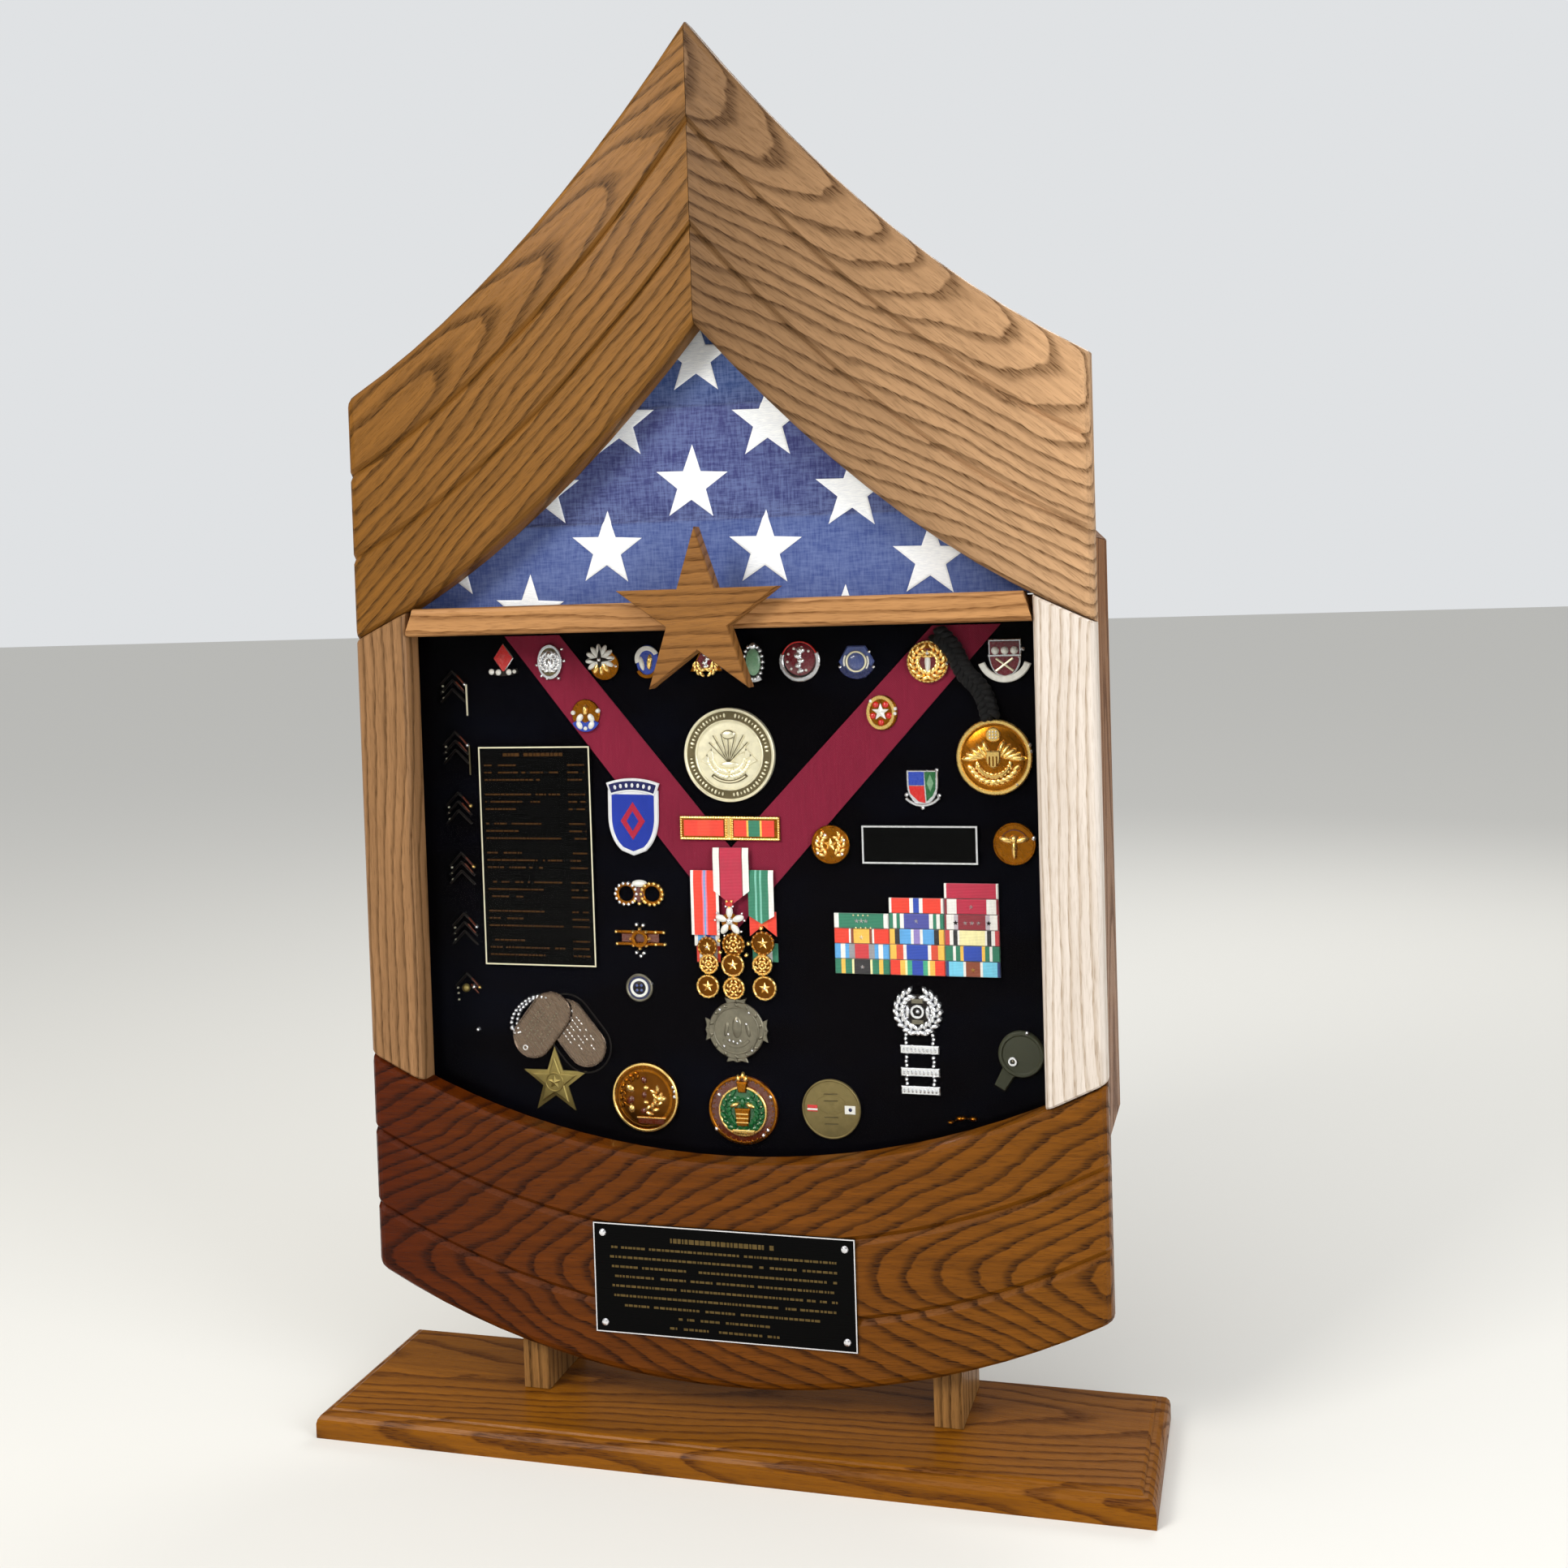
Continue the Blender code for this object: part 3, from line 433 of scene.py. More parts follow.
GOLD = metal("polished gold", srgb(255, 214, 128), 0.24, metallic=0.9)
DEEP_GOLD = metal("toned gold", srgb(162, 98, 22), 0.26, 0.6, 0.4)
OLD_BRASS = metal("dull brass", srgb(156, 138, 80), 0.42, 0.5, metallic=0.8)
BRONZE = metal("antique silver bronze", srgb(246, 238, 208), 0.36, 0.4, 0.6, 0.72)
PATINA = metal("dark patina", srgb(112, 102, 76), 0.50, 0.5, 0.5)
BROWN_GOLD = metal("shaded gold", srgb(120, 70, 18), 0.3, 0.6, 0.4)
DULL_BRONZE = metal("dull bronze", srgb(142, 126, 82), 0.50, 0.4, metallic=0.8)
SILVER = metal("bright silver", srgb(240, 240, 244), 0.22, metallic=0.9)
GREY_METAL = metal("frosted grey metal", srgb(136, 130, 114), 0.40, 0.5)
TAG_METAL = metal("tag steel", srgb(122, 104, 90), 0.24, 0.3, 0.7)
GUNMETAL = metal("gunmetal", srgb(52, 48, 46), 0.40)
ZINC = metal("zinc", srgb(176, 178, 180), 0.32)
RED = enamel("red enamel", srgb(200, 24, 20))
MAROON = enamel("maroon enamel", srgb(106, 14, 30))
WHITE = enamel("white enamel", srgb(232, 230, 224), 0.25)
BLUE = enamel("blue enamel", srgb(30, 62, 168))
SLATE = enamel("slate blue enamel", srgb(70, 84, 140))
GREEN = enamel("green enamel", srgb(16, 92, 44))
SAGE = enamel("sage enamel", srgb(112, 152, 118))
NAVY = enamel("navy enamel", srgb(22, 30, 78))
BLACK = plate_material()
TAWNY = enamel("tawny enamel", srgb(92, 34, 12))
OLIVE = plastic_material("olive disc", srgb(52, 54, 34))
CREAM_METAL = metal("pale clasp", srgb(226, 214, 170), 0.3)


# ---------------------------------------------------------------- mesh helpers

def spread(start, end, count):
    return [start + (end - start) * i / (count - 1) for i in range(count)]


def polar(reach, angle, centre=(0.0, 0.0)):
    """The point at a distance and an angle from a centre."""
    return (centre[0] + reach * cos(angle), centre[1] + reach * sin(angle))


def circle(radius, count=32, centre=(0.0, 0.0), stretch=1.0):
    """Points of a circle, or of an oval that is stretch times as tall as it is wide."""
    angles = [tau * i / count for i in range(count)]
    return [(centre[0] + radius * cos(a), centre[1] + radius * stretch * sin(a)) for a in angles]


def star(radius, waist=0.382, points=5, centre=(0.0, 0.0), turn=pi / 2):
    outline = []
    for i in range(2 * points):
        reach = radius if i % 2 == 0 else radius * waist
        angle = turn + i * pi / points
        outline.append(polar(reach, angle, centre))
    return outline


def rectangle(width, height, centre=(0.0, 0.0)):
    x, z = centre
    return [(x - width / 2, z - height / 2), (x + width / 2, z - height / 2),
            (x + width / 2, z + height / 2), (x - width / 2, z + height / 2)]


def diamond(width, height, centre=(0.0, 0.0)):
    x, z = centre
    return [(x, z - height / 2), (x + width / 2, z), (x, z + height / 2), (x - width / 2, z)]


def shield(width, height, centre=(0.0, 0.0), dip=0.0):
    """Flat or dipped top, straight shoulders, sides that curve in to a point."""
    x, z = centre
    top = z + height / 2
    side = []
    for t in spread(0.4, 1.0, 9):
        side.append((width / 2 * sqrt(max(0.0, 1 - ((t - 0.4) / 0.6) ** 2)), top - height * t))
    right = [(x + width / 2, top)] + [(x + across, down) for across, down in side]
    left = [(2 * x - across, down) for across, down in right[-2::-1]]
    return (right + left + [(x, top - dip)])[::-1] if dip else (right + left)[::-1]


def arc_band(inner, outer, start, end, count=18, centre=(0.0, 0.0)):
    """A curved band between two radii and two angles."""
    angles = spread(start, end, count)
    out = [polar(outer, a, centre) for a in angles]
    back = [polar(inner, a, centre) for a in reversed(angles)]
    return out + back


def inset(outline, distance):
    """The outline moved inwards by a distance. It runs anticlockwise."""
    moved = []
    count = len(outline)
    for i in range(count):
        before, here, after = (Vector(outline[(i + k) % count]) for k in (-1, 0, 1))
        first, second = (here - before).normalized(), (after - here).normalized()
        normals = Vector((-first.y, first.x)), Vector((-second.y, second.x))
        middle = normals[0] + normals[1]
        if middle.length < 1e-6:
            middle = normals[0].copy()
        middle.normalize()
        stretch = 1 / max(0.35, middle.dot(normals[0]))
        moved.append(tuple(here + middle * distance * stretch))
    return moved


def anticlockwise(outline):
    area = sum(a[0] * b[1] - b[0] * a[1] for a, b in zip(outline, outline[1:] + outline[:1]))
    return list(outline) if area > 0 else list(outline)[::-1]


def place_mesh(name, shape, materials, body="root", sharp=None):
    """Makes an object of a shape and puts it on a body. Edges past the angle sharp stay hard."""
    mesh = bpy.data.meshes.new(name)
    shape.to_mesh(mesh)
    shape.free()
    for material in materials:
        mesh.materials.append(material)
    mesh.shade_smooth()
    if sharp:
        mesh.set_sharp_from_angle(angle=sharp)
    obj = bpy.data.objects.new(name, mesh)
    bpy.context.scene.collection.objects.link(obj)
    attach(obj, body)
    return obj


class Piece:
    """Gathers closed shapes on a plane that faces -Y, in millimetres from its centre, for one object."""

    def __init__(self, name, centre=(0.0, 0.0), turn=0.0, ground=FELT):
        self.name = name
        self.centre = centre
        self.turn = turn
        self.ground = ground
        self.shape = bmesh.new()
        self.materials = []

    def point(self, u, v, height):
        x = self.centre[0] + (u * cos(self.turn) - v * sin(self.turn)) * MM
        z = self.centre[1] + (u * sin(self.turn) + v * cos(self.turn)) * MM
        return self.shape.verts.new((x, self.ground - height * MM, z))

    def skin(self, rings, material, capped=True, looped=False):
        """Faces through rings of equal length, each a list of (u, v, height)."""
        if material not in self.materials:
            self.materials.append(material)
        index = self.materials.index(material)
        rows = [[self.point(*p) for p in ring] for ring in rings]
        count = len(rows[0])
        pairs = list(zip(rows, rows[1:])) + ([(rows[-1], rows[0])] if looped else [])
        faces = []
        for row, following in pairs:
            for i in range(count):
                j = (i + 1) % count
                faces.append(self.shape.faces.new((row[i], row[j], following[j], following[i])))
        if capped and not looped:
            faces.append(self.shape.faces.new(rows[0][::-1]))
            faces.append(self.shape.faces.new(rows[-1]))
        for face in faces:
            face.material_index = index

    def plate(self, outline, low, high, material, bevel=0.25):
        """An outline raised from low to high, with a bevelled front edge."""
        outline = anticlockwise(outline)
        top = inset(outline, bevel)
        rings = [[(u, v, low) for u, v in outline], [(u, v, high - bevel) for u, v in outline],
                 [(u, v, high) for u, v in top]]
        self.skin(rings, material)

    def dome(self, centre, radius, low, high, material, stretch=1.0, turn=0.0, sides=12, steps=3):
        """A rounded button, or a leaf shape where stretch is far from 1."""
        rings = []
        for i in range(steps + 1):
            lift = i / steps * pi / 2 * 0.97
            reach = radius * cos(lift)
            ring = []
            for k in range(sides):
                u, v = reach * cos(tau * k / sides) * stretch, reach * sin(tau * k / sides)
                ring.append((centre[0] + u * cos(turn) - v * sin(turn),
                             centre[1] + u * sin(turn) + v * cos(turn),
                             low + (high - low) * sin(lift)))
            rings.append(ring)
        self.skin(rings, material)

    def ring(self, inner, outer, low, high, material, centre=(0.0, 0.0), sides=56, bevel=0.25, stretch=1.0):
        """A flat ring with bevelled edges."""
        section = ((outer, low), (outer, high - bevel), (outer - bevel, high), (inner + bevel, high),
                   (inner, high - bevel), (inner, low))
        rings = []
        for reach, height in section:
            rings.append([(u, v, height) for u, v in circle(reach, sides, centre, stretch)])
        self.skin(rings, material, looped=True)

    def facets(self, outline, low, edge, peak, material, centre=(0.0, 0.0)):
        """A cut shape whose flat facets rise from its outline to one peak."""
        outline = anticlockwise(outline)
        tip = []
        for u, v in outline:
            tip.append((centre[0] + 0.02 * (u - centre[0]), centre[1] + 0.02 * (v - centre[1]), peak))
        self.skin([[(u, v, low) for u, v in outline], [(u, v, edge) for u, v in outline], tip], material)

    def beads(self, places, radius, low, high, material):
        for place in places:
            self.dome(place, radius, low, high, material, sides=8, steps=2)

    def leaves(self, radius, count, start, end, low, high, material, size=1.4, centre=(0.0, 0.0), lean=0.55):
        """Pairs of leaves along an arc, as in a wreath."""
        for angle in spread(start, end, count):
            way = 1 if end > start else -1
            for side in (-1, 1):
                reach = radius + side * size * 0.55
                place = polar(reach, angle, centre)
                turn = angle + way * (pi / 2 - side * lean)
                self.dome(place, size * 0.45, low, high, material, 2.2, turn, 8, 2)

    def wreath(self, radius, count, start, end, *style):
        """Leaves up the left side between two angles in degrees, and their mirror image on the right."""
        self.leaves(radius, count, radians(start), radians(end), *style)
        self.leaves(radius, count, radians(180 - start), radians(180 - end), *style)

    def tube(self, path, radius, material, sides=8):
        """A round bar along a path of (u, v, height)."""
        path = [Vector(p) for p in path]
        rings = []
        for i, here in enumerate(path):
            ahead = (path[min(i + 1, len(path) - 1)] - path[max(i - 1, 0)]).normalized()
            side = ahead.cross(Vector((0, 0, 1)))
            side = side.normalized() if side.length > 1e-6 else Vector((1, 0, 0))
            over = side.cross(ahead)
            rings.append([tuple(here + (side * cos(tau * k / sides) + over * sin(tau * k / sides)) * radius)
                          for k in range(sides)])
        self.skin(rings, material)

    def make(self, slot=None, replaces=(), sharp=0.6):
        bmesh.ops.recalc_face_normals(self.shape, faces=self.shape.faces)
        obj = place_mesh(self.name, self.shape, self.materials, sharp=sharp)
        if replaces:
            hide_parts(*replaces)
        return obj


# ---------------------------------------------------------------- fabric: sheets, sash, flag

def cloth_sheet(name, rows, material, thickness=0.0):
    """A sheet through rows of points. With a thickness it gets a back, set towards +Y, and closed edges."""
    shape = bmesh.new()
    front = [[shape.verts.new(p) for p in row] for row in rows]
    layers = [front]
    if thickness:
        layers.append([[shape.verts.new((p[0], p[1] + thickness, p[2])) for p in row] for row in rows])
    for k, layer in enumerate(layers):
        for row, following in zip(layer, layer[1:]):
            for i in range(len(row) - 1):
                corners = (row[i], row[i + 1], following[i + 1], following[i])
                shape.faces.new(corners if k == 0 else corners[::-1])
    if thickness:
        loops = []
        for layer in layers:
            right = [row[-1] for row in layer[1:-1]]
            left = [row[0] for row in layer[1:-1]]
            loops.append(layer[0] + right + layer[-1][::-1] + left[::-1])
        count = len(loops[0])
        for i in range(count):
            j = (i + 1) % count
            shape.faces.new((loops[0][j], loops[0][i], loops[1][i], loops[1][j]))
    bmesh.ops.recalc_face_normals(shape, faces=shape.faces)
    return place_mesh(name, shape, [material], sharp=1.0)


SASH_TOP = 0.5145
SASH_NOTCH = 0.374
SASH_TIP = 0.318
SASH_ARMS = {"left": (-0.1535, -0.1145), "right": (0.179, 0.136)}   # outer and inner x at the top
SASH_STAND = 1.0 * MM                                               # front face over the felt


def make_sash():
    """A ribbon in a V, mitred and sewn at its point."""
    rows = []
    steps = 72
    for side, (outer, inner) in SASH_ARMS.items():
        shares = spread(0.0, 1.0, steps)
        if side == "right":
            shares = shares[::-1][1:]
        for s in shares:
            row = []
            for t in spread(0.0, 1.0, 9):
                x = (1 - s) * (outer + (inner - outer) * t)
                z = SASH_TOP + s * (SASH_TIP + (SASH_NOTCH - SASH_TIP) * t - SASH_TOP)
                ripple = noise.noise(Vector((x * 28, 0.3, z * 28))) * 0.22 * MM
                seam = -0.25 * MM * max(0.0, 1 - abs(x) / 0.0012)
                row.append((x, FELT - SASH_STAND - ripple - seam, z))
            rows.append(row)
    sash = cloth_sheet("sash", rows, woven("maroon ribbon", srgb(128, 24, 52), 0.0008, 0.04), 0.6 * MM)
    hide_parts("sash_ribbon")


FLAG_LAYERS = 30
FLAG_FOLDS = (0.586, 0.658)        # heights of the folds that show on the front
FOLD_STEP = 1.0 * MM               # each lower band lies this far in front
FLAG_DEPTH = 3.2 * MM              # of its first layer, inside the CAD solid
FLAG_SPARE = 6.5 * MM              # depth that its layers leave free
FLAG_LOW, FLAG_HIGH = 0.53, 0.75   # heights between which its tone changes; it is darkest, as painted shade, just above each fold
STAR_RADIUS = 0.0250
STAR_LIFT = 0.75 * MM              # of a star's face over the cloth
STAR_EDGE = 0.30 * MM              # of its edge
FLAG_STARS = (
    (-0.007, 0.688), (-0.060, 0.650), (0.039, 0.645), (-0.0125, 0.6085), (-0.113, 0.608), (0.092, 0.599),
    (-0.071, 0.569), (0.035, 0.5655), (0.140, 0.5555), (-0.126, 0.5300), (0.085, 0.517), (-0.1800, 0.5640),
)


def flag_front(x, z):
    """Depth of the flag's front layer: three bands, each lying over the one above, with soft creases."""
    low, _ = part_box("folded_flag")
    depth = low.y + FLAG_DEPTH
    for fold in FLAG_FOLDS:
        edge = min(1.0, max(0.0, (fold - z) / (0.8 * MM) + 0.5))
        roll = max(0.0, 1 - abs(z - fold + 2.0 * MM) / (3.5 * MM))
        depth -= FOLD_STEP * edge + 0.35 * MM * roll
    crease = noise.noise(Vector((x * 9, 0.0, z * 30))) + 0.5 * noise.noise(Vector((x * 26, 4.0, z * 60)))
    return depth - 0.45 * MM * crease


def flag_material():
    n = Nodes("blue flag cotton")
    split = n.add("SeparateXYZ", {"Vector": n.place()})
    reach = {"Value": split.outputs["Z"], "From Min": FLAG_LOW, "From Max": FLAG_HIGH}
    height = n.add("MapRange", reach).outputs[0]
    lower, upper = [(fold - FLAG_LOW) / (FLAG_HIGH - FLAG_LOW) for fold in FLAG_FOLDS]
    # Painted shade: each band is darkest just above a fold, where the band in front overlaps it, and lightens
    # over the next few millimetres
    band = n.ramp(height, (
        (0.0, srgb(70, 88, 152)), (lower - 0.01, srgb(66, 84, 146)), (lower, srgb(48, 52, 104)),
        (lower + 0.05, srgb(54, 58, 116)), (upper - 0.01, srgb(60, 62, 122)), (upper, srgb(40, 52, 108)),
        (upper + 0.05, srgb(52, 76, 134)), (1.0, srgb(52, 78, 134))))
    pitch = tau / 0.00075
    warp = n.maths("SINE", n.maths("MULTIPLY", split.outputs["X"], pitch))
    weft = n.maths("SINE", n.maths("MULTIPLY", split.outputs["Z"], pitch))
    weave = n.maths("MULTIPLY", warp, weft)
    slubs = n.noise(n.place((900, 200, 120)), 1.0, 3.0, 0.5)
    slubs_across = n.noise(n.place((120, 200, 900)), 1.0, 3.0, 0.5)
    thread = n.maths("ADD", n.maths("MULTIPLY", slubs, 0.6), n.maths("MULTIPLY", slubs_across, 0.6))
    clouds = n.noise(n.place((30, 30, 60)), 1.0, 3.0)
    tone = n.maths("ADD", thread, n.maths("MULTIPLY", clouds, 0.35))
    pale = n.mix(0.5, band, srgb(128, 144, 196))
    n.set("Base Color", n.mix(n.ramp(tone, ((0.62, 0.0), (0.92, 1.0))), band, pale))
    n.set("Specular IOR Level", 0.2)
    n.set("Roughness", 0.86)
    n.set("Sheen Weight", 0.25)
    n.bump(n.maths("ADD", weave, n.maths("MULTIPLY", slubs, 1.5)), 0.00016, 0.8)
    return n.material


def make_flag():
    """One continuous sheet, folded to and fro into triangular layers that are joined leg by leg."""
    low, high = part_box("folded_flag")
    half = (high.x - low.x) / 2 - 2.5 * MM
    tall = high.z - low.z
    near = set(spread(low.z, high.z, 62))
    for fold in FLAG_FOLDS:
        near.update(spread(fold - 4 * MM, fold + 3 * MM, 12))
    heights = sorted(near)
    pitch = (high.y - low.y - FLAG_SPARE) / (FLAG_LAYERS - 1)
    rows = []
    for z in heights:
        reach = max(2.5 * MM, half * (1 - (z - low.z) / tall))
        row = []
        for layer in range(FLAG_LAYERS):
            way = 1 if layer % 2 == 0 else -1
            count = 96 if layer == 0 else 5
            for share in spread(-1.0, 1.0, count):
                x = reach * share * way
                front = flag_front(x, z)
                back = low.y + FLAG_DEPTH + layer * pitch
                row.append((x, front if layer == 0 else back, z))
            if layer < FLAG_LAYERS - 1:
                start, end = row[-1][1], low.y + FLAG_DEPTH + (layer + 1) * pitch
                for turn in (pi / 4, pi / 2, 3 * pi / 4):
                    out = reach + pitch * 0.5 * sin(turn)
                    row.append((out * way, start + (end - start) * (1 - cos(turn)) / 2, z))
        rows.append(row)
    flag = cloth_sheet("flag", rows, flag_material())
    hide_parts("folded_flag")
    stars = make_flag_stars(low, half, tall)


def make_flag_stars(low, half, tall):
    """Embroidered stars on the front layer, cut where the cloth turns round the flag's edges."""
    shape = bmesh.new()
    for centre in FLAG_STARS:
        outline = star(STAR_RADIUS, 0.40, 5, centre, pi / 2 + radians(-2.5))
        shape_star(shape, outline, centre)
    edges = ((Vector((0, 0, low.z + 1.2 * MM)), Vector((0, 0, -1))),
             (Vector((half - 1.5 * MM, 0, low.z)), Vector((tall, 0, half)).normalized()),
             (Vector((-half + 1.5 * MM, 0, low.z)), Vector((-tall, 0, half)).normalized()))
    for place, outward in edges:
        geometry = shape.verts[:] + shape.edges[:] + shape.faces[:]
        bmesh.ops.bisect_plane(shape, geom=geometry, plane_co=place, plane_no=outward, clear_outer=True)
    for vert in shape.verts:
        vert.co.y = flag_front(vert.co.x, vert.co.z) - vert.co.y
    n = Nodes("white embroidery")
    stitch = n.noise(n.place((260, 200, 2400)), 1.0, 2.0, 0.5)
    ridges = n.ramp(stitch, ((0.3, 0.0), (0.7, 1.0)))
    n.set("Base Color", n.mix(ridges, srgb(226, 228, 236), srgb(250, 250, 252)))
    n.set("Roughness", 0.62)
    n.set("Sheen Weight", 0.3)
    n.bump(stitch, 0.0002, 0.6)
    obj = place_mesh("flag_stars", shape, [n.material])
    return obj


def shape_star(shape, outline, centre):
    """A finely meshed star, its Y holding how far it stands in front of the cloth."""
    steps = 10
    count = len(outline)
    for i in range(count):
        a, b = Vector(outline[i]), Vector(outline[(i + 1) % count])
        middle = Vector(centre)
        grid = []
        for j in range(steps + 1):
            share = j / steps
            start, end = middle + (a - middle) * share, middle + (b - middle) * share
            lift = STAR_EDGE if j == steps else STAR_LIFT
            cells = max(1, j)
            grid.append([])
            for k in range(cells + 1):
                spot = start + (end - start) * k / cells
                grid[-1].append(shape.verts.new((spot.x, lift, spot.y)))
        for inner, outer in zip(grid, grid[1:]):
            if len(inner) == len(outer):
                shape.faces.new((inner[0], outer[0], outer[1]))
                continue
            for k in range(len(outer) - 1):
                shape.faces.new((inner[min(k, len(inner) - 1)], outer[k], outer[k + 1]))
                if k < len(inner) - 1:
                    shape.faces.new((inner[k], outer[k + 1], inner[k + 1]))
    bmesh.ops.remove_doubles(shape, verts=shape.verts, dist=0.01 * MM)
    bmesh.ops.recalc_face_normals(shape, faces=shape.faces)


# ---------------------------------------------------------------- cord

CORD_ROUTE = ((0.1390, 0.5105), (0.1450, 0.5050), (0.1500, 0.4985), (0.1535, 0.4905), (0.1575, 0.4835),
              (0.1630, 0.4780), (0.1675, 0.4715), (0.1700, 0.4640), (0.1715, 0.4565))
CORD_PLAIT = 4.3 * MM            # how far a strand wanders from the middle
CORD_STRAND = 2.3 * MM
CORD_TURN = 12.0 * MM            # length of one full plait


def smooth_route(points, each=10):
    """A curve through the points, which passes each of them without a corner."""
    points = [Vector(p) for p in points]
    curve = []
    for i in range(len(points) - 1):
        before = points[max(i - 1, 0)]
        after = points[min(i + 2, len(points) - 1)]
        for share in spread(0.0, 1.0, each + 1)[:-1]:
            a = (points[i + 1] - before) / 2
            b = (after - points[i]) / 2
            s2, s3 = share ** 2, share ** 3
            curve.append(points[i] * (2 * s3 - 3 * s2 + 1) + a * (s3 - 2 * s2 + share)
                         + points[i + 1] * (3 * s2 - 2 * s3) + b * (s3 - s2))
    curve.append(points[-1])
    return curve


def make_cord():
    """A plait of three thick strands, sewn down over the ribbon."""
    centre = (0.155, 0.485)
    curve = smooth_route(CORD_ROUTE)
    yarn = woven("black braid", srgb(11, 10, 12), 0.0009, 0.05, 0.7)
    piece = Piece("plaited_cord", centre, 0.0, FELT - 1.4 * MM)
    for strand in range(3):
        path = []
        walked = 0.0
        for i, here in enumerate(curve):
            ahead = (curve[min(i + 1, len(curve) - 1)] - curve[max(i - 1, 0)]).normalized()
            walked += (here - curve[i - 1]).length if i else 0.0
            phase = tau * (walked / CORD_TURN + strand / 3)
            side = Vector((-ahead.y, ahead.x)) * CORD_PLAIT * sin(phase)
            lift = 3.1 + 1.3 * sin(2 * phase)
            path.append(((here.x + side.x - centre[0]) / MM, (here.y + side.y - centre[1]) / MM, lift))
        piece.tube(path, CORD_STRAND / MM, yarn, 10)
    piece.make(slot="black_braid", replaces=("shoulder_cord",), sharp=1.2)


# ---------------------------------------------------------------- badges and coins, all of plain design

OVER_SASH = FELT - 1.3 * MM


def crest_ring(p, radius, count, material, low=0.8, high=2.0, size=0.55, start=0.0, sweep=tau):
    places = [polar(radius, start + sweep * i / count) for i in range(count)]
    p.beads(places, size, low, high, material)


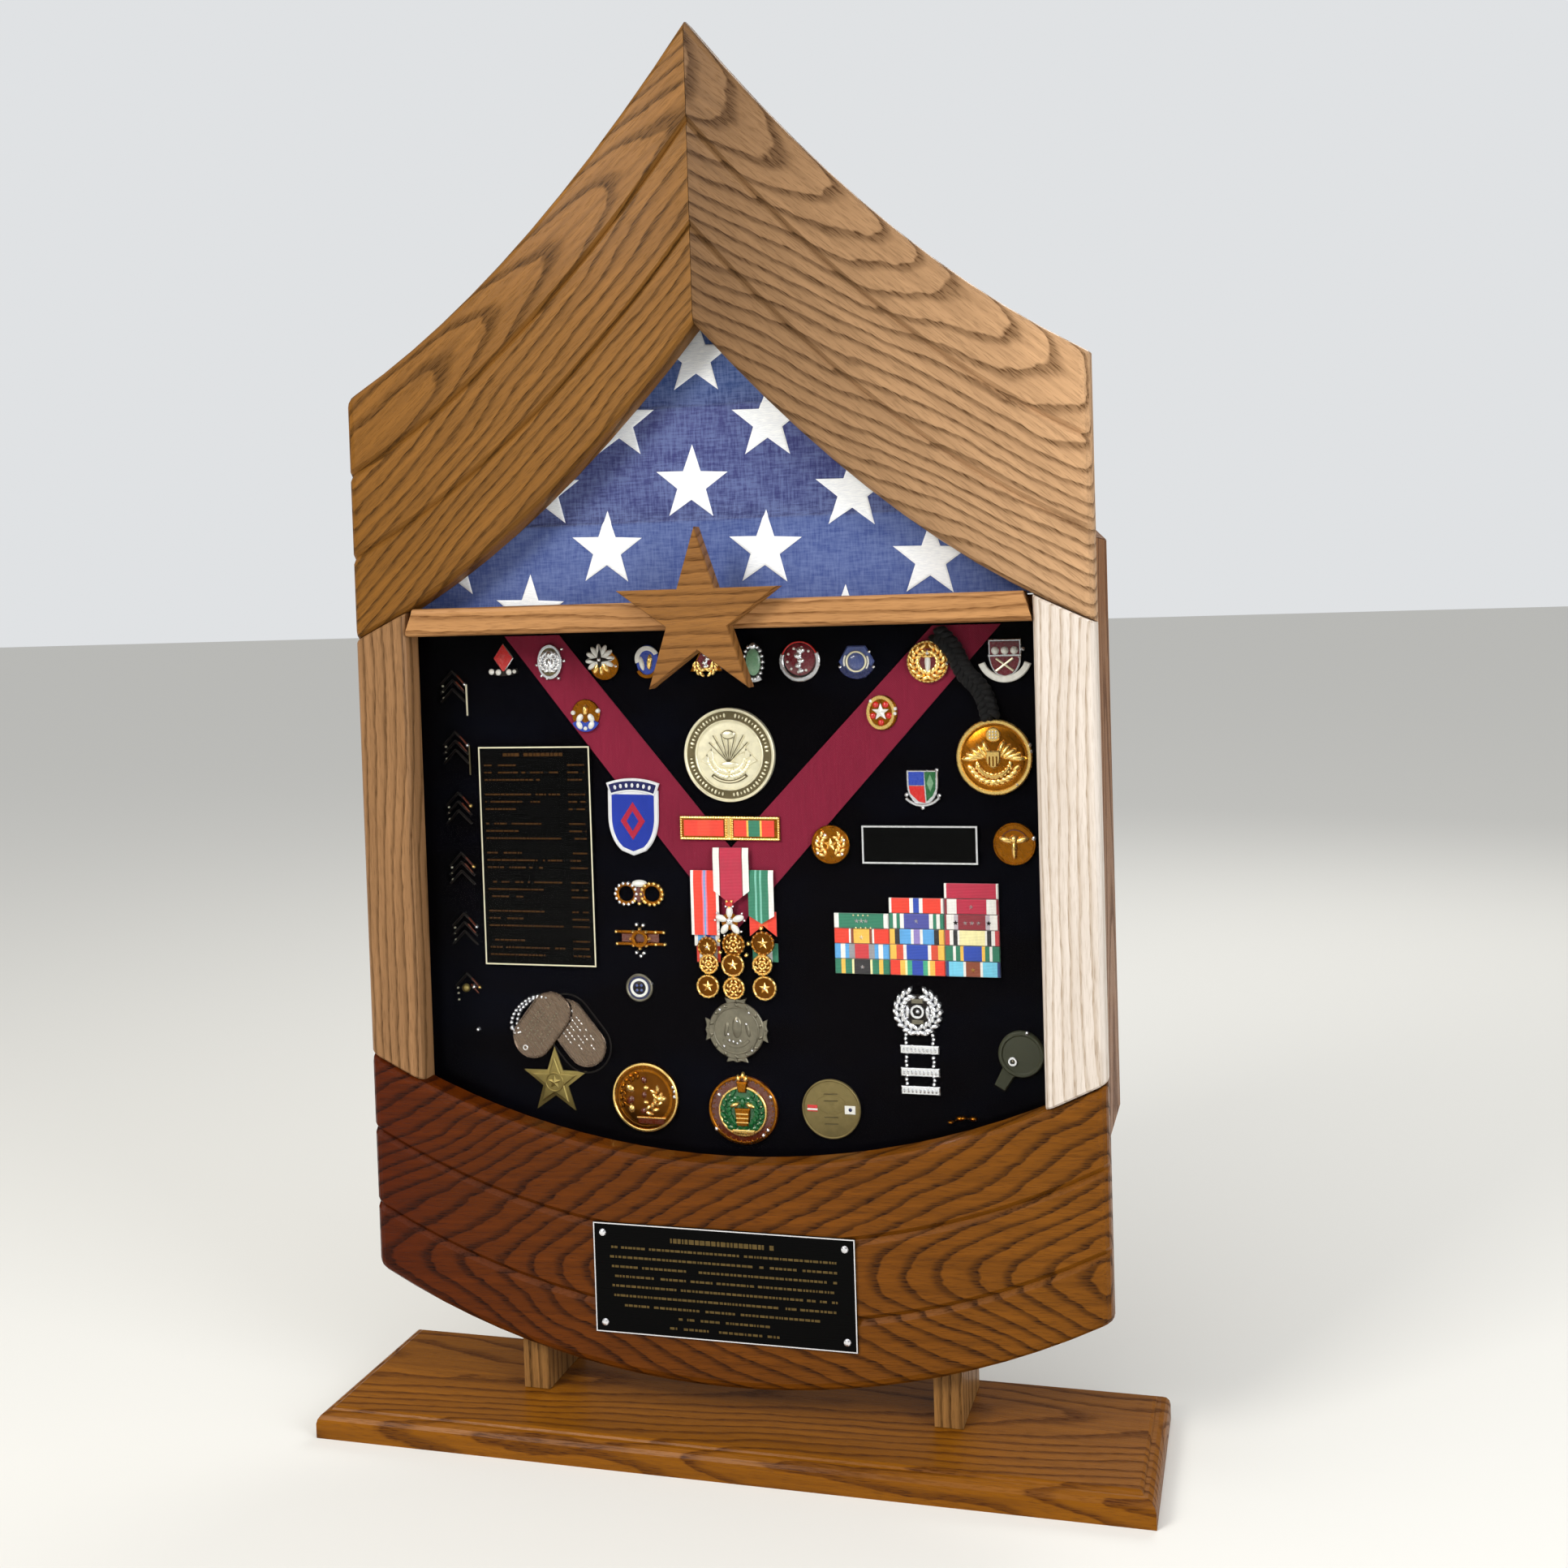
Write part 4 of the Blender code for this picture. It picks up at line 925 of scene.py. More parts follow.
def make_top_badges():
    """The badges along the board's upper edge, and two just below them."""
    p = Piece("lozenge_badge", (-0.155, 0.4975))
    p.plate(diamond(14.5, 20, (0, 2.5)), 0, 1.4, SILVER, 0.4)
    p.facets(diamond(13.4, 18.6, (0, 2.5)), 1.0, 1.6, 3.0, RED, (0, 2.5))
    p.plate(arc_band(26, 29.5, radians(249), radians(291), 14, (0, 20)), 0, 1.8, GUNMETAL)
    for u in (-8.6, -3.6, 4.0, 8.0):
        p.dome((u, -7.2 + abs(u) * 0.09), 2.1 if u < 8 else 1.4, 1.6, 3.0, WHITE)
    p.make()

    p = Piece("oval_crest", (-0.121, 0.497), 0.0, OVER_SASH)
    p.plate(circle(8.2, 32, stretch=1.35), 0, 1.2, PATINA)
    p.ring(7.0, 8.6, 0.4, 2.2, SILVER, stretch=1.33)
    p.wreath(4.9, 7, 250, 110, 1.2, 2.8, SILVER, 2.6)
    p.dome((0, 4.6), 3.0, 1.2, 3.4, SILVER)
    p.dome((0, -2.2), 1.7, 1.2, 3.4, SILVER, 3.2, pi / 2)
    p.beads(((-9.6, -2), (10, 0.5), (8.6, 8.4), (-6.4, -9.2), (-2.4, -11), (1.6, -10.2), (5.6, -11)),
            1.25, 0, 2.4, SILVER)
    p.make()

    p = Piece("sunburst_badge", (-0.085, 0.4965), 0.0, OVER_SASH)
    p.plate(circle(9.8, 40, (2.4, -2.4)), 0, 1.2, DEEP_GOLD)
    for i in range(12):
        angle = tau * i / 12 + 0.1
        place = (6.6 * cos(angle) - 0.4, 6.6 * sin(angle) + 1.2)
        p.dome(place, 1.85, 1.0, 2.9, WHITE if i < 8 or i > 10 else GOLD, 2.1, angle, 10, 2)
    p.dome((-0.4, 1.2), 5.4, 1.0, 2.4, WHITE)
    p.facets(star(9.4, 0.22, 4, (-0.4, 1.2)), 2.0, 2.5, 4.0, GUNMETAL, (-0.4, 1.2))
    p.dome((-0.4, 1.2), 1.4, 3.0, 4.4, SILVER)
    p.beads(((10.6, -3.2),), 1.3, 0, 2.6, SILVER)
    p.make()

    p = Piece("arched_badge", (-0.053, 0.496))
    p.plate(circle(7.6, 32, stretch=1.4), 0, 1.2, BLUE)
    p.plate(arc_band(5.4, 8.4, radians(25), radians(200), 20, (0, 1.6)), 1.0, 2.2, WHITE)
    p.plate(arc_band(5.6, 8.0, radians(205), radians(335), 16, (0, -3.2)), 1.0, 2.4, DEEP_GOLD)
    p.dome((1.6, -0.5), 1.8, 1.2, 3.4, GOLD, 3.0, pi / 2 - 0.1)
    p.dome((-3.8, -1.4), 1.7, 1.2, 3.2, WHITE, 2.8, pi / 2 + 0.2)
    p.make()

    p = Piece("pyramid_badge", (-0.013, 0.495))
    p.plate([(-11, -6.5), (11, -6.5), (3.2, 8), (-3.2, 8)], 0, 1.2, DEEP_GOLD, 0.5)
    p.plate([(-8.6, -4.6), (8.6, -4.6), (2.4, 7), (-2.4, 7)], 1.0, 1.9, MAROON)
    for u, v in ((0.2, 4.6), (1.6, 1.8), (-0.4, -0.6), (0.4, -3.0)):
        p.dome((u, v), 1.5, 1.6, 3.4, SILVER, 1.5, 0.3)
    p.leaves(5.0, 4, radians(175), radians(255), 1.4, 3.0, GOLD, 2.6, (-1, -2))
    p.leaves(5.0, 4, radians(5), radians(-75), 1.4, 3.0, GOLD, 2.6, (1, -2))
    p.beads(((10.6, -4.2),), 1.0, 0, 2.6, SILVER)
    p.make()

    p = Piece("sage_crest", (0.019, 0.494))
    p.plate(circle(6.4, 32, stretch=1.75), 0, 1.2, GUNMETAL)
    p.dome((0, 0), 5.0, 1.0, 2.6, SAGE, 1.8, pi / 2, 20)
    for i in range(18):
        angle = tau * i / 18
        p.dome((6.3 * cos(angle), 11.0 * sin(angle)), 1.3, 0.6, 2.9, SILVER, 1.2, angle)
    p.dome((0, 10.4), 2.6, 0.6, 3.2, SILVER)
    p.plate(arc_band(9, 11.4, radians(240), radians(300), 10, (0, -1.5)), 0.4, 2.2, SILVER)
    p.make()

    p = Piece("round_badge", (0.050, 0.494))
    p.plate(circle(12.6, 48), 0, 1.2, GUNMETAL, 0.5)
    p.dome((0, 1.0), 10.6, 1.0, 2.2, MAROON, sides=36)
    p.plate(arc_band(10.7, 13.4, radians(158), radians(385), 36, (0, 0.2)), 0.6, 2.6, SILVER, 0.6)
    p.plate(arc_band(11.2, 12.1, radians(20), radians(160), 24, (0, 0.6)), 0.6, 2.2, RED)
    for i in range(8):
        angle = radians(42 + 37 * i)
        p.beads(((8.1 * cos(angle), 1 + 7.9 * sin(angle)),), 0.95, 1.6, 2.9, WHITE)
    for k, v in enumerate((7.0, 3.6, 0.4, -2.8, -6.0)):
        p.dome((0.9 * (-1) ** k, v), 2.3 - 0.15 * k, 1.9, 3.7, SILVER, 1.25)
    p.make()

    p = Piece("slate_badge", (0.087, 0.493))
    p.plate(circle(11.6, 6), 0, 1.3, SLATE, 0.8)
    p.plate(arc_band(9.0, 12.6, radians(205), radians(335), 18, (0, 1.5)), 1.0, 2.0, NAVY)
    p.ring(5.6, 6.8, 1.2, 2.6, BRONZE)
    p.dome((0, 0), 5.7, 1.2, 2.3, SLATE, sides=24)
    p.plate(arc_band(7.4, 8.4, radians(150), radians(200), 8), 1.2, 2.6, WHITE, 0.2)
    p.plate(arc_band(7.4, 8.4, radians(-35), radians(25), 8), 1.2, 2.6, WHITE, 0.2)
    p.beads(((8.6, 6.2), (11, -3.6), (-10.6, -3.2)), 1.15, 0.8, 2.8, SILVER)
    p.make()

    p = Piece("wreath_badge", (0.133, 0.492), 0.0, OVER_SASH)
    p.plate(circle(12.2, 48), 0, 1.1, DEEP_GOLD, 0.5)
    p.ring(11.9, 13.2, 0.3, 2.0, GOLD)
    p.dome((0, 0), 9.0, 0.9, 1.8, MAROON, sides=32)
    p.wreath(8.3, 8, 262, 105, 1.2, 3.2, GOLD, 3.2)
    p.dome((0, 0), 1.9, 1.6, 4.0, WHITE, 4.0, pi / 2)
    p.dome((0, 3.6), 1.5, 1.6, 4.2, GOLD, 2.6)
    crest_ring(p, 12.6, 30, DEEP_GOLD, 1.4, 2.6)
    p.beads(((8.8, 8.6), (12.2, -1.2)), 1.35, 0.8, 3.4, SILVER)
    p.make()

    p = Piece("bossed_shield", (0.181, 0.491))
    p.plate(shield(20.5, 24, (0, 2)), 0, 1.2, SILVER, 0.5)
    p.plate(shield(18.3, 21.6, (0, 2)), 1.0, 1.9, MAROON, 0.3)
    for u in (-5.8, 0.2, 6.0):
        p.dome((u, 7.0), 2.6, 1.6, 3.4, WHITE)
    p.plate(rectangle(20.6, 1.2, (0, 3.9)), 1.4, 2.5, SILVER, 0.2)
    p.tube(((-5.4, -5.6, 2.3), (5.2, 2.2, 2.6)), 0.75, BRONZE)
    p.tube(((5.4, -5.6, 2.3), (-5.2, 2.2, 2.6)), 0.75, BRONZE)
    p.plate(arc_band(13.2, 17.4, radians(200), radians(340), 24, (0, 4.6)), 0.8, 3.0, WHITE, 0.6)
    p.beads(((11.6, 7.8), (9.4, 3.0)), 1.5, 0.2, 3.0, SILVER)
    p.make()

    p = Piece("bell_badge", (-0.097, 0.461), 0.0, OVER_SASH)
    p.plate(circle(9.8, 40, (0, 1)), 0, 1.1, DEEP_GOLD, 0.5)
    p.plate(arc_band(4.0, 10.2, radians(205), radians(335), 18, (0, -0.5)), 0.8, 1.9, BLUE)
    for u, v, lean in ((-4.0, -1.6, 1.0), (4.0, -1.6, 2.14), (-4.2, -6.2, 2.1), (4.2, -6.2, 1.04)):
        p.dome((u, v), 2.1, 1.4, 3.3, WHITE, 1.5, lean)
    p.dome((0, 3.8), 1.8, 1.4, 3.6, GOLD, 2.0, pi / 2)
    p.beads(((-8.6, 2.0), (8.8, 3.0), (0, -8.4)), 1.7, 0.8, 3.2, WHITE)
    p.make()

    p = Piece("star_badge", (0.1025, 0.4605), 0.0, OVER_SASH)
    p.plate(circle(9.6, 40, (0.6, 0), 1.15), 0, 1.1, DEEP_GOLD, 0.5)
    p.ring(7.2, 9.2, 0.8, 2.2, GOLD, (-0.4, 0.2), stretch=1.18)
    for i in range(5):
        angle = radians(54 + 72 * i)
        p.dome((5.4 * cos(angle) - 0.4, 6.2 * sin(angle)), 2.1, 1.0, 2.4, RED)
    p.facets(star(5.6, 0.42, 5, (-0.4, 0.4)), 1.4, 2.2, 3.6, WHITE, (-0.4, 0.4))
    p.beads(((8.8, 2.4), (8.6, -0.6), (-6.6, 7.4)), 1.3, 0.8, 3.0, WHITE)
    p.make()


def relief(name, centre, radius, height, rim, material):
    """A coin blank with a raised rim, ready for its design."""
    p = Piece(name, centre)
    p.plate(circle(radius, 72), 0, height, material, 0.4)
    p.ring(radius - rim, radius, height - 0.3, height + 0.9, material, sides=72, bevel=0.35)
    return p


def make_medallion():
    """Large struck disc: a ring of small blocks round a fan of pennants over a wreath."""
    p = relief("round_medallion", (0.0015, 0.4345), 30.4, 3.0, 1.6, BRONZE)
    p.ring(23.0, 28.4, 2.8, 3.15, PATINA, sides=72, bevel=0.1)
    p.ring(21.8, 23.0, 2.8, 3.8, BRONZE, sides=72, bevel=0.3)
    for i in range(64):
        angle = tau * i / 64
        if i % 16 in (0, 15):
            continue
        middle = polar(25.7, angle)
        wide = 0.55 + 0.35 * ((i * 7) % 3) / 2
        p.dome(middle, wide, 3.0, 3.9, BRONZE, 1.9, angle, 6, 2)
    p.dome((0, 0), 21.4, 2.9, 3.5, BRONZE, sides=48)
    for i, angle in enumerate(spread(radians(38), radians(142), 7)):
        reach = 16.5 + 1.5 * (i % 2)
        tip = (reach * cos(angle), -4 + reach * sin(angle) + 2)
        p.tube(((0, -5, 4.0), (*tip, 4.0)), 0.42, PATINA, 6)
        p.tube(((0.5, -5, 3.9), (tip[0] + 0.5, tip[1], 3.9)), 0.40, BRONZE, 6)
    for side in (-1, 1):
        for k in range(3):
            u, v = side * (8.2 + 3.0 * k), 4.6 - 3.6 * k
            feather = [(u, v + 4), (u + side * 5.0, v - 1.2), (u - side * 1.2, v - 4.4)]
            p.plate(feather, 3.2, 4.1, BRONZE, 0.3)
    p.dome((0, 13.2), 3.3, 3.2, 5.2, BRONZE, 1.7)
    p.ring(3.4, 4.2, 3.2, 4.5, PATINA, (0, 13.2), 32, stretch=0.7)
    p.wreath(12.8, 9, 262, 200, 3.2, 4.6, BRONZE, 2.6)
    p.plate(arc_band(16.2, 18.4, radians(228), radians(312), 20), 3.2, 4.0, PATINA, 0.2)
    p.plate(arc_band(16.8, 17.8, radians(232), radians(308), 20), 3.4, 4.4, BRONZE, 0.2)
    p.dome((0, -6.2), 2.6, 3.2, 5.0, BRONZE, 2.6)
    for u in (-7.5, -3.6, 0.4, 4.2, 8.0):
        p.dome((u, -10.0), 1.3, 3.2, 4.6, BRONZE, 1.6, 0.4 * u)
    p.make(slot="antique_bronze", replaces=("round_medallion",))


def make_cap_device():
    """A gilt disc with leaves round a small shield."""
    p = Piece("gilt_disc", (0.173, 0.432))
    p.plate(circle(22.8, 64), 0, 2.2, DEEP_GOLD, 0.6)
    p.ring(20.6, 23.6, 0.4, 3.6, GOLD, sides=64, bevel=0.7)
    p.dome((0, 0), 19.8, 2.0, 4.2, DEEP_GOLD, sides=40)
    for side in (-1, 1):
        for k in range(5):
            lean = radians(90 - side * (24 + 17 * k))
            p.dome((side * (4.5 + 2.4 * k), 5.5 - 1.5 * k), 2.1, 3.2, 7.0 - 0.3 * k, GOLD, 3.0, lean)
        first, last = (268, 205) if side < 0 else (-88, -25)
        p.leaves(13.4, 6, radians(first), radians(last), 3.2, 6.0, GOLD, 3.6)
    p.plate(circle(4.6, 24, (0, 14.2)), 3.0, 5.4, GOLD, 0.6)
    p.beads([(u * 1.9, 14.2 + v * 1.9) for u in (-1, 0, 1) for v in (-1, 0, 1)], 0.8, 5.0, 6.2, SILVER)
    p.plate(shield(9, 11, (0, -1)), 4.6, 7.6, GOLD, 0.8)
    for u in (-2.2, 0, 2.2):
        p.plate(rectangle(0.9, 6.0, (u, -2)), 7.2, 8.1, DEEP_GOLD, 0.2)
    p.plate(arc_band(9.5, 11.5, radians(205), radians(335), 18, (0, -1)), 4.0, 6.4, GOLD, 0.5)
    crest_ring(p, 17.4, 30, GOLD, 2.6, 4.6, 0.9, radians(200), radians(140))
    p.beads(((22.2, 7.4), (22.8, 3.4), (14, -17)), 1.6, 1.2, 4.2, SILVER)
    p.make()


def make_small_pieces():
    """Shields, discs and pins between the larger pieces, and the column of pins at the left."""
    p = Piece("quartered_shield", (0.127, 0.412))
    p.plate(shield(20, 22, (0, 1)), 0, 1.2, SILVER, 0.4)
    p.plate([(-8.6, 11), (1.2, 11), (1.2, 2.6), (-8.6, 2.6)], 1.0, 1.9, BLUE, 0.2)
    p.plate([(-8.6, 2.2), (1.2, 2.2), (1.8, -8.6), (-2.5, -7.6), (-7.6, -2.6)], 1.0, 1.9, RED, 0.2)
    p.plate([(1.6, 11), (8.8, 11), (8.4, 0), (6.4, -4.2), (2.6, -7.6)], 1.0, 1.9, GREEN, 0.2)
    p.facets(diamond(4.4, 11, (5.2, 4)), 1.6, 2.0, 2.8, SAGE, (5.2, 4))
    p.plate(arc_band(13.4, 15.2, radians(222), radians(318), 18, (0, 4.2)), 0.6, 2.4, SILVER, 0.4)
    p.beads(((9.4, 12), (10.6, -4.0), (-10.2, -3.4), (0, -11.6)), 1.5, 0.3, 3.0, SILVER)
    p.make()

    for name, centre, radius in (("collar_disc_left", (0.067, 0.377), 12.3),
                                 ("collar_disc_right", (0.184, 0.378), 13.2)):
        p = Piece(name, centre, 0.0, OVER_SASH if centre[0] < 0.1 else FELT)
        p.plate(circle(radius, 56), 0, 1.4, DEEP_GOLD, 0.5)
        p.ring(radius - 1.3, radius + 0.1, 0.6, 2.2, DEEP_GOLD, bevel=0.4)
        if centre[0] < 0.1:
            p.wreath(7.2, 5, 230, 130, 1.4, 3.2, GOLD, 2.6)
            p.facets(star(4.4, 0.45), 1.4, 2.2, 3.8, GOLD)
            p.beads(((-8.6, 2.4), (-8.4, -5.4), (8.8, 3.0), (7.4, -6.0), (-3.4, 6.0)), 1.2, 1.4, 3.2, SILVER)
        else:
            p.dome((0, -3.4), 1.9, 1.4, 4.2, GOLD, 3.4, pi / 2)
            for side in (-1, 1):
                p.dome((side * 4.6, 2.6), 2.2, 1.4, 4.0, GOLD, 2.3, side * 0.25)
            p.dome((0, 3.0), 3.0, 1.4, 4.6, GOLD)
            p.plate(arc_band(8.4, 9.2, radians(30), radians(150), 18), 1.2, 2.2, TAWNY, 0.2)
            p.beads(((12.2, 3.6),), 1.7, 0.8, 3.4, SILVER)
        p.make()

    p = Piece("oval_pair_badge", (-0.064, 0.344))
    for side in (-1, 1):
        p.ring(5.2, 7.9, 0, 2.2, DEEP_GOLD, (side * 9.0, -0.8), 28, 0.5, 0.95)
        places = [(side * 9.0 + 7.4 * cos(a), -0.8 + 7.0 * sin(a)) for a in spread(0, tau, 15)[:-1]]
        p.beads(places, 1.35, 1.2, 3.4, SILVER if side < 0 else GOLD)
    p.dome((0, 5.8), 2.5, 0, 3.4, WHITE, 2.2)
    p.plate(diamond(8, 12, (0, -1.5)), 0.4, 2.6, TAWNY, 0.5)
    p.beads(((0, -7.2), (-3.4, -5.4), (3.4, -5.6)), 1.4, 0.6, 3.2, GOLD)
    p.make()

    p = Piece("barred_badge", (-0.0645, 0.3135))
    for v, shift in ((4.4, 0.0), (-3.6, 0.5)):
        p.plate(rectangle(34, 1.9, (shift, v)), 0, 1.8, DEEP_GOLD, 0.5)
        p.beads(((-16.6 + shift, v), (16.6 + shift, v), (11, v)), 1.2, 0.6, 2.8, GOLD)
    p.plate(rectangle(26, 5.8, (0, 0.4)), 0, 1.0, TAWNY, 0.4)
    p.ring(3.4, 5.6, 0.8, 3.0, DEEP_GOLD)
    for angle in spread(0, tau, 9)[:-1]:
        p.beads((polar(6.4, angle),), 1.25, 1.0, 3.6, GOLD)
    p.beads(((-2.0, 9.4), (2.6, 9.0), (-2.6, -9.2), (0.4, -11.4), (2.6, -9.4)), 1.4, 0.6, 3.4, SILVER)
    p.make()

    p = Piece("ringed_pin", (-0.066, 0.281))
    p.plate(circle(9.0, 48), 0, 1.5, NAVY, 0.5)
    p.ring(7.7, 9.3, 0.6, 2.3, GREY_METAL, bevel=0.5)
    p.ring(4.6, 6.2, 1.3, 2.1, WHITE, bevel=0.2)
    p.dome((0, 0), 4.4, 1.3, 2.0, GUNMETAL)
    for angle in spread(0, tau, 5)[:-1]:
        p.dome(polar(2.2, angle + 0.8), 1.1, 1.6, 2.6, SLATE)
    p.beads(((8.6, 3.0),), 1.0, 0.8, 3.0, SILVER)
    p.make()

    p = Piece("target_badge", (0.120, 0.2715))
    p.plate(circle(10.6, 44), 0, 1.0, GUNMETAL, 0.4)
    for side in (-1, 1):
        start, end = (radians(258), radians(112)) if side < 0 else (radians(-78), radians(68))
        p.leaves(12.0, 9, start, end, 0.6, 3.4, SILVER, 3.6)
        p.dome((side * 6.4, -0.5), 1.5, 1.0, 3.2, SILVER, 3.0, pi / 2)
    p.ring(2.9, 4.4, 1.0, 3.0, SILVER)
    p.dome((0, 0), 1.5, 1.0, 3.2, SILVER)
    p.plate(rectangle(7.5, 2.8, (0, 6.6)), 0.8, 2.8, GREY_METAL, 0.4)
    p.plate(rectangle(7.5, 2.8, (0, -6.6)), 0.8, 2.8, GREY_METAL, 0.4)
    p.beads([(u, -14.0 + 0.09 * abs(u)) for u in (-6, -3, 0, 3, 6)], 1.7, 0.4, 3.2, SILVER)
    for v in (-24.4, -38.8, -50.4):
        p.plate(rectangle(25, 5.4, (0.6, v)), 0, 1.9, SILVER, 0.6)
        for u in spread(-9.6, 10.8, 9):
            p.dome((u, v), 1.0, 1.6, 3.0, SILVER, 1.6, pi / 2, 6, 2)
        for side in (-1, 1):
            links = [(0.6 + side * u, v + rise) for u, rise in ((8.6, 4.2), (9.0, 6.8), (8.6, 9.4))]
            p.beads(links, 1.35, 0.2, 2.6, SILVER)
    p.make()

    p = Piece("olive_disc", (0.185, 0.247))
    p.plate(circle(14.5, 48), 0, 3.0, OLIVE, 1.2)
    p.ring(11.5, 14.4, 2.6, 3.8, OLIVE, bevel=0.8)
    p.plate([(-10.5, -6), (-3, -12), (-11, -24), (-17.5, -20)], 0, 2.0, OLIVE, 0.8)
    p.ring(1.4, 2.9, 2.6, 4.4, SILVER, (-5.4, -4.4), 24, 0.3)
    p.dome((-5.4, -4.4), 1.4, 2.6, 4.0, GREY_METAL)
    p.beads(((4, 13.6),), 1.5, 2.6, 4.8, SILVER)
    p.make()

    p = Piece("tie_pin", (0.145, 0.204))
    for u, v, size in ((-6.0, -2.2, 1.2), (0.2, 0.4, 1.7), (2.2, 0.8, 1.3), (8.6, 0.6, 1.6)):
        p.dome((u, v), size, 0, 2.8, DEEP_GOLD, 1.7)
    p.tube(((-6, -2.2, 0.8), (0.2, 0.4, 0.8), (8.6, 0.6, 0.8)), 0.5, DEEP_GOLD, 6)
    p.make()

    p = Piece("rank_pins", (-0.1925, 0.374))
    for k in range(6):
        v = 114 - 41 * k
        u = 0.6 * k
        for step in range(3 if k < 5 else 1):
            for side in (-1, 1):
                p.tube(((u + side * 9, v - 6 * step - 5, 1.0), (u, v + 4 - 6 * step, 1.6)), 0.9, GUNMETAL, 6)
        p.tube(((u + 8.8, v - 5, 2.0), (u + 3.6, v + 1.2, 2.2)), 0.5, TAWNY, 6)
        p.tube(((u + 8.0, v - 9, 2.0), (u + 2.8, v - 3, 2.2)), 0.5, TAWNY, 6)
        p.dome((u + 8.8, v - 5), 1.25, 1.0, 3.2, SILVER if k in (0, 1, 4) else GOLD)
        p.beads(((u - 7.6, v - 6), (u - 7.4, v - 9.6), (u - 7.2, v - 14)), 0.75, 0.6, 2.2, BRONZE)
    p.tube(((9.8, 109, 1.4), (10.0, 88, 1.4)), 0.65, BRONZE, 6)
    p.tube(((10.4, 68, 1.4), (10.6, 48, 1.4)), 0.5, PATINA, 6)
    p.dome((1.2, -97), 3.0, 0, 3.4, OLD_BRASS)
    p.beads(((7.4, -96), (9.2, -125)), 1.5, 0, 3.0, SILVER)
    p.make()


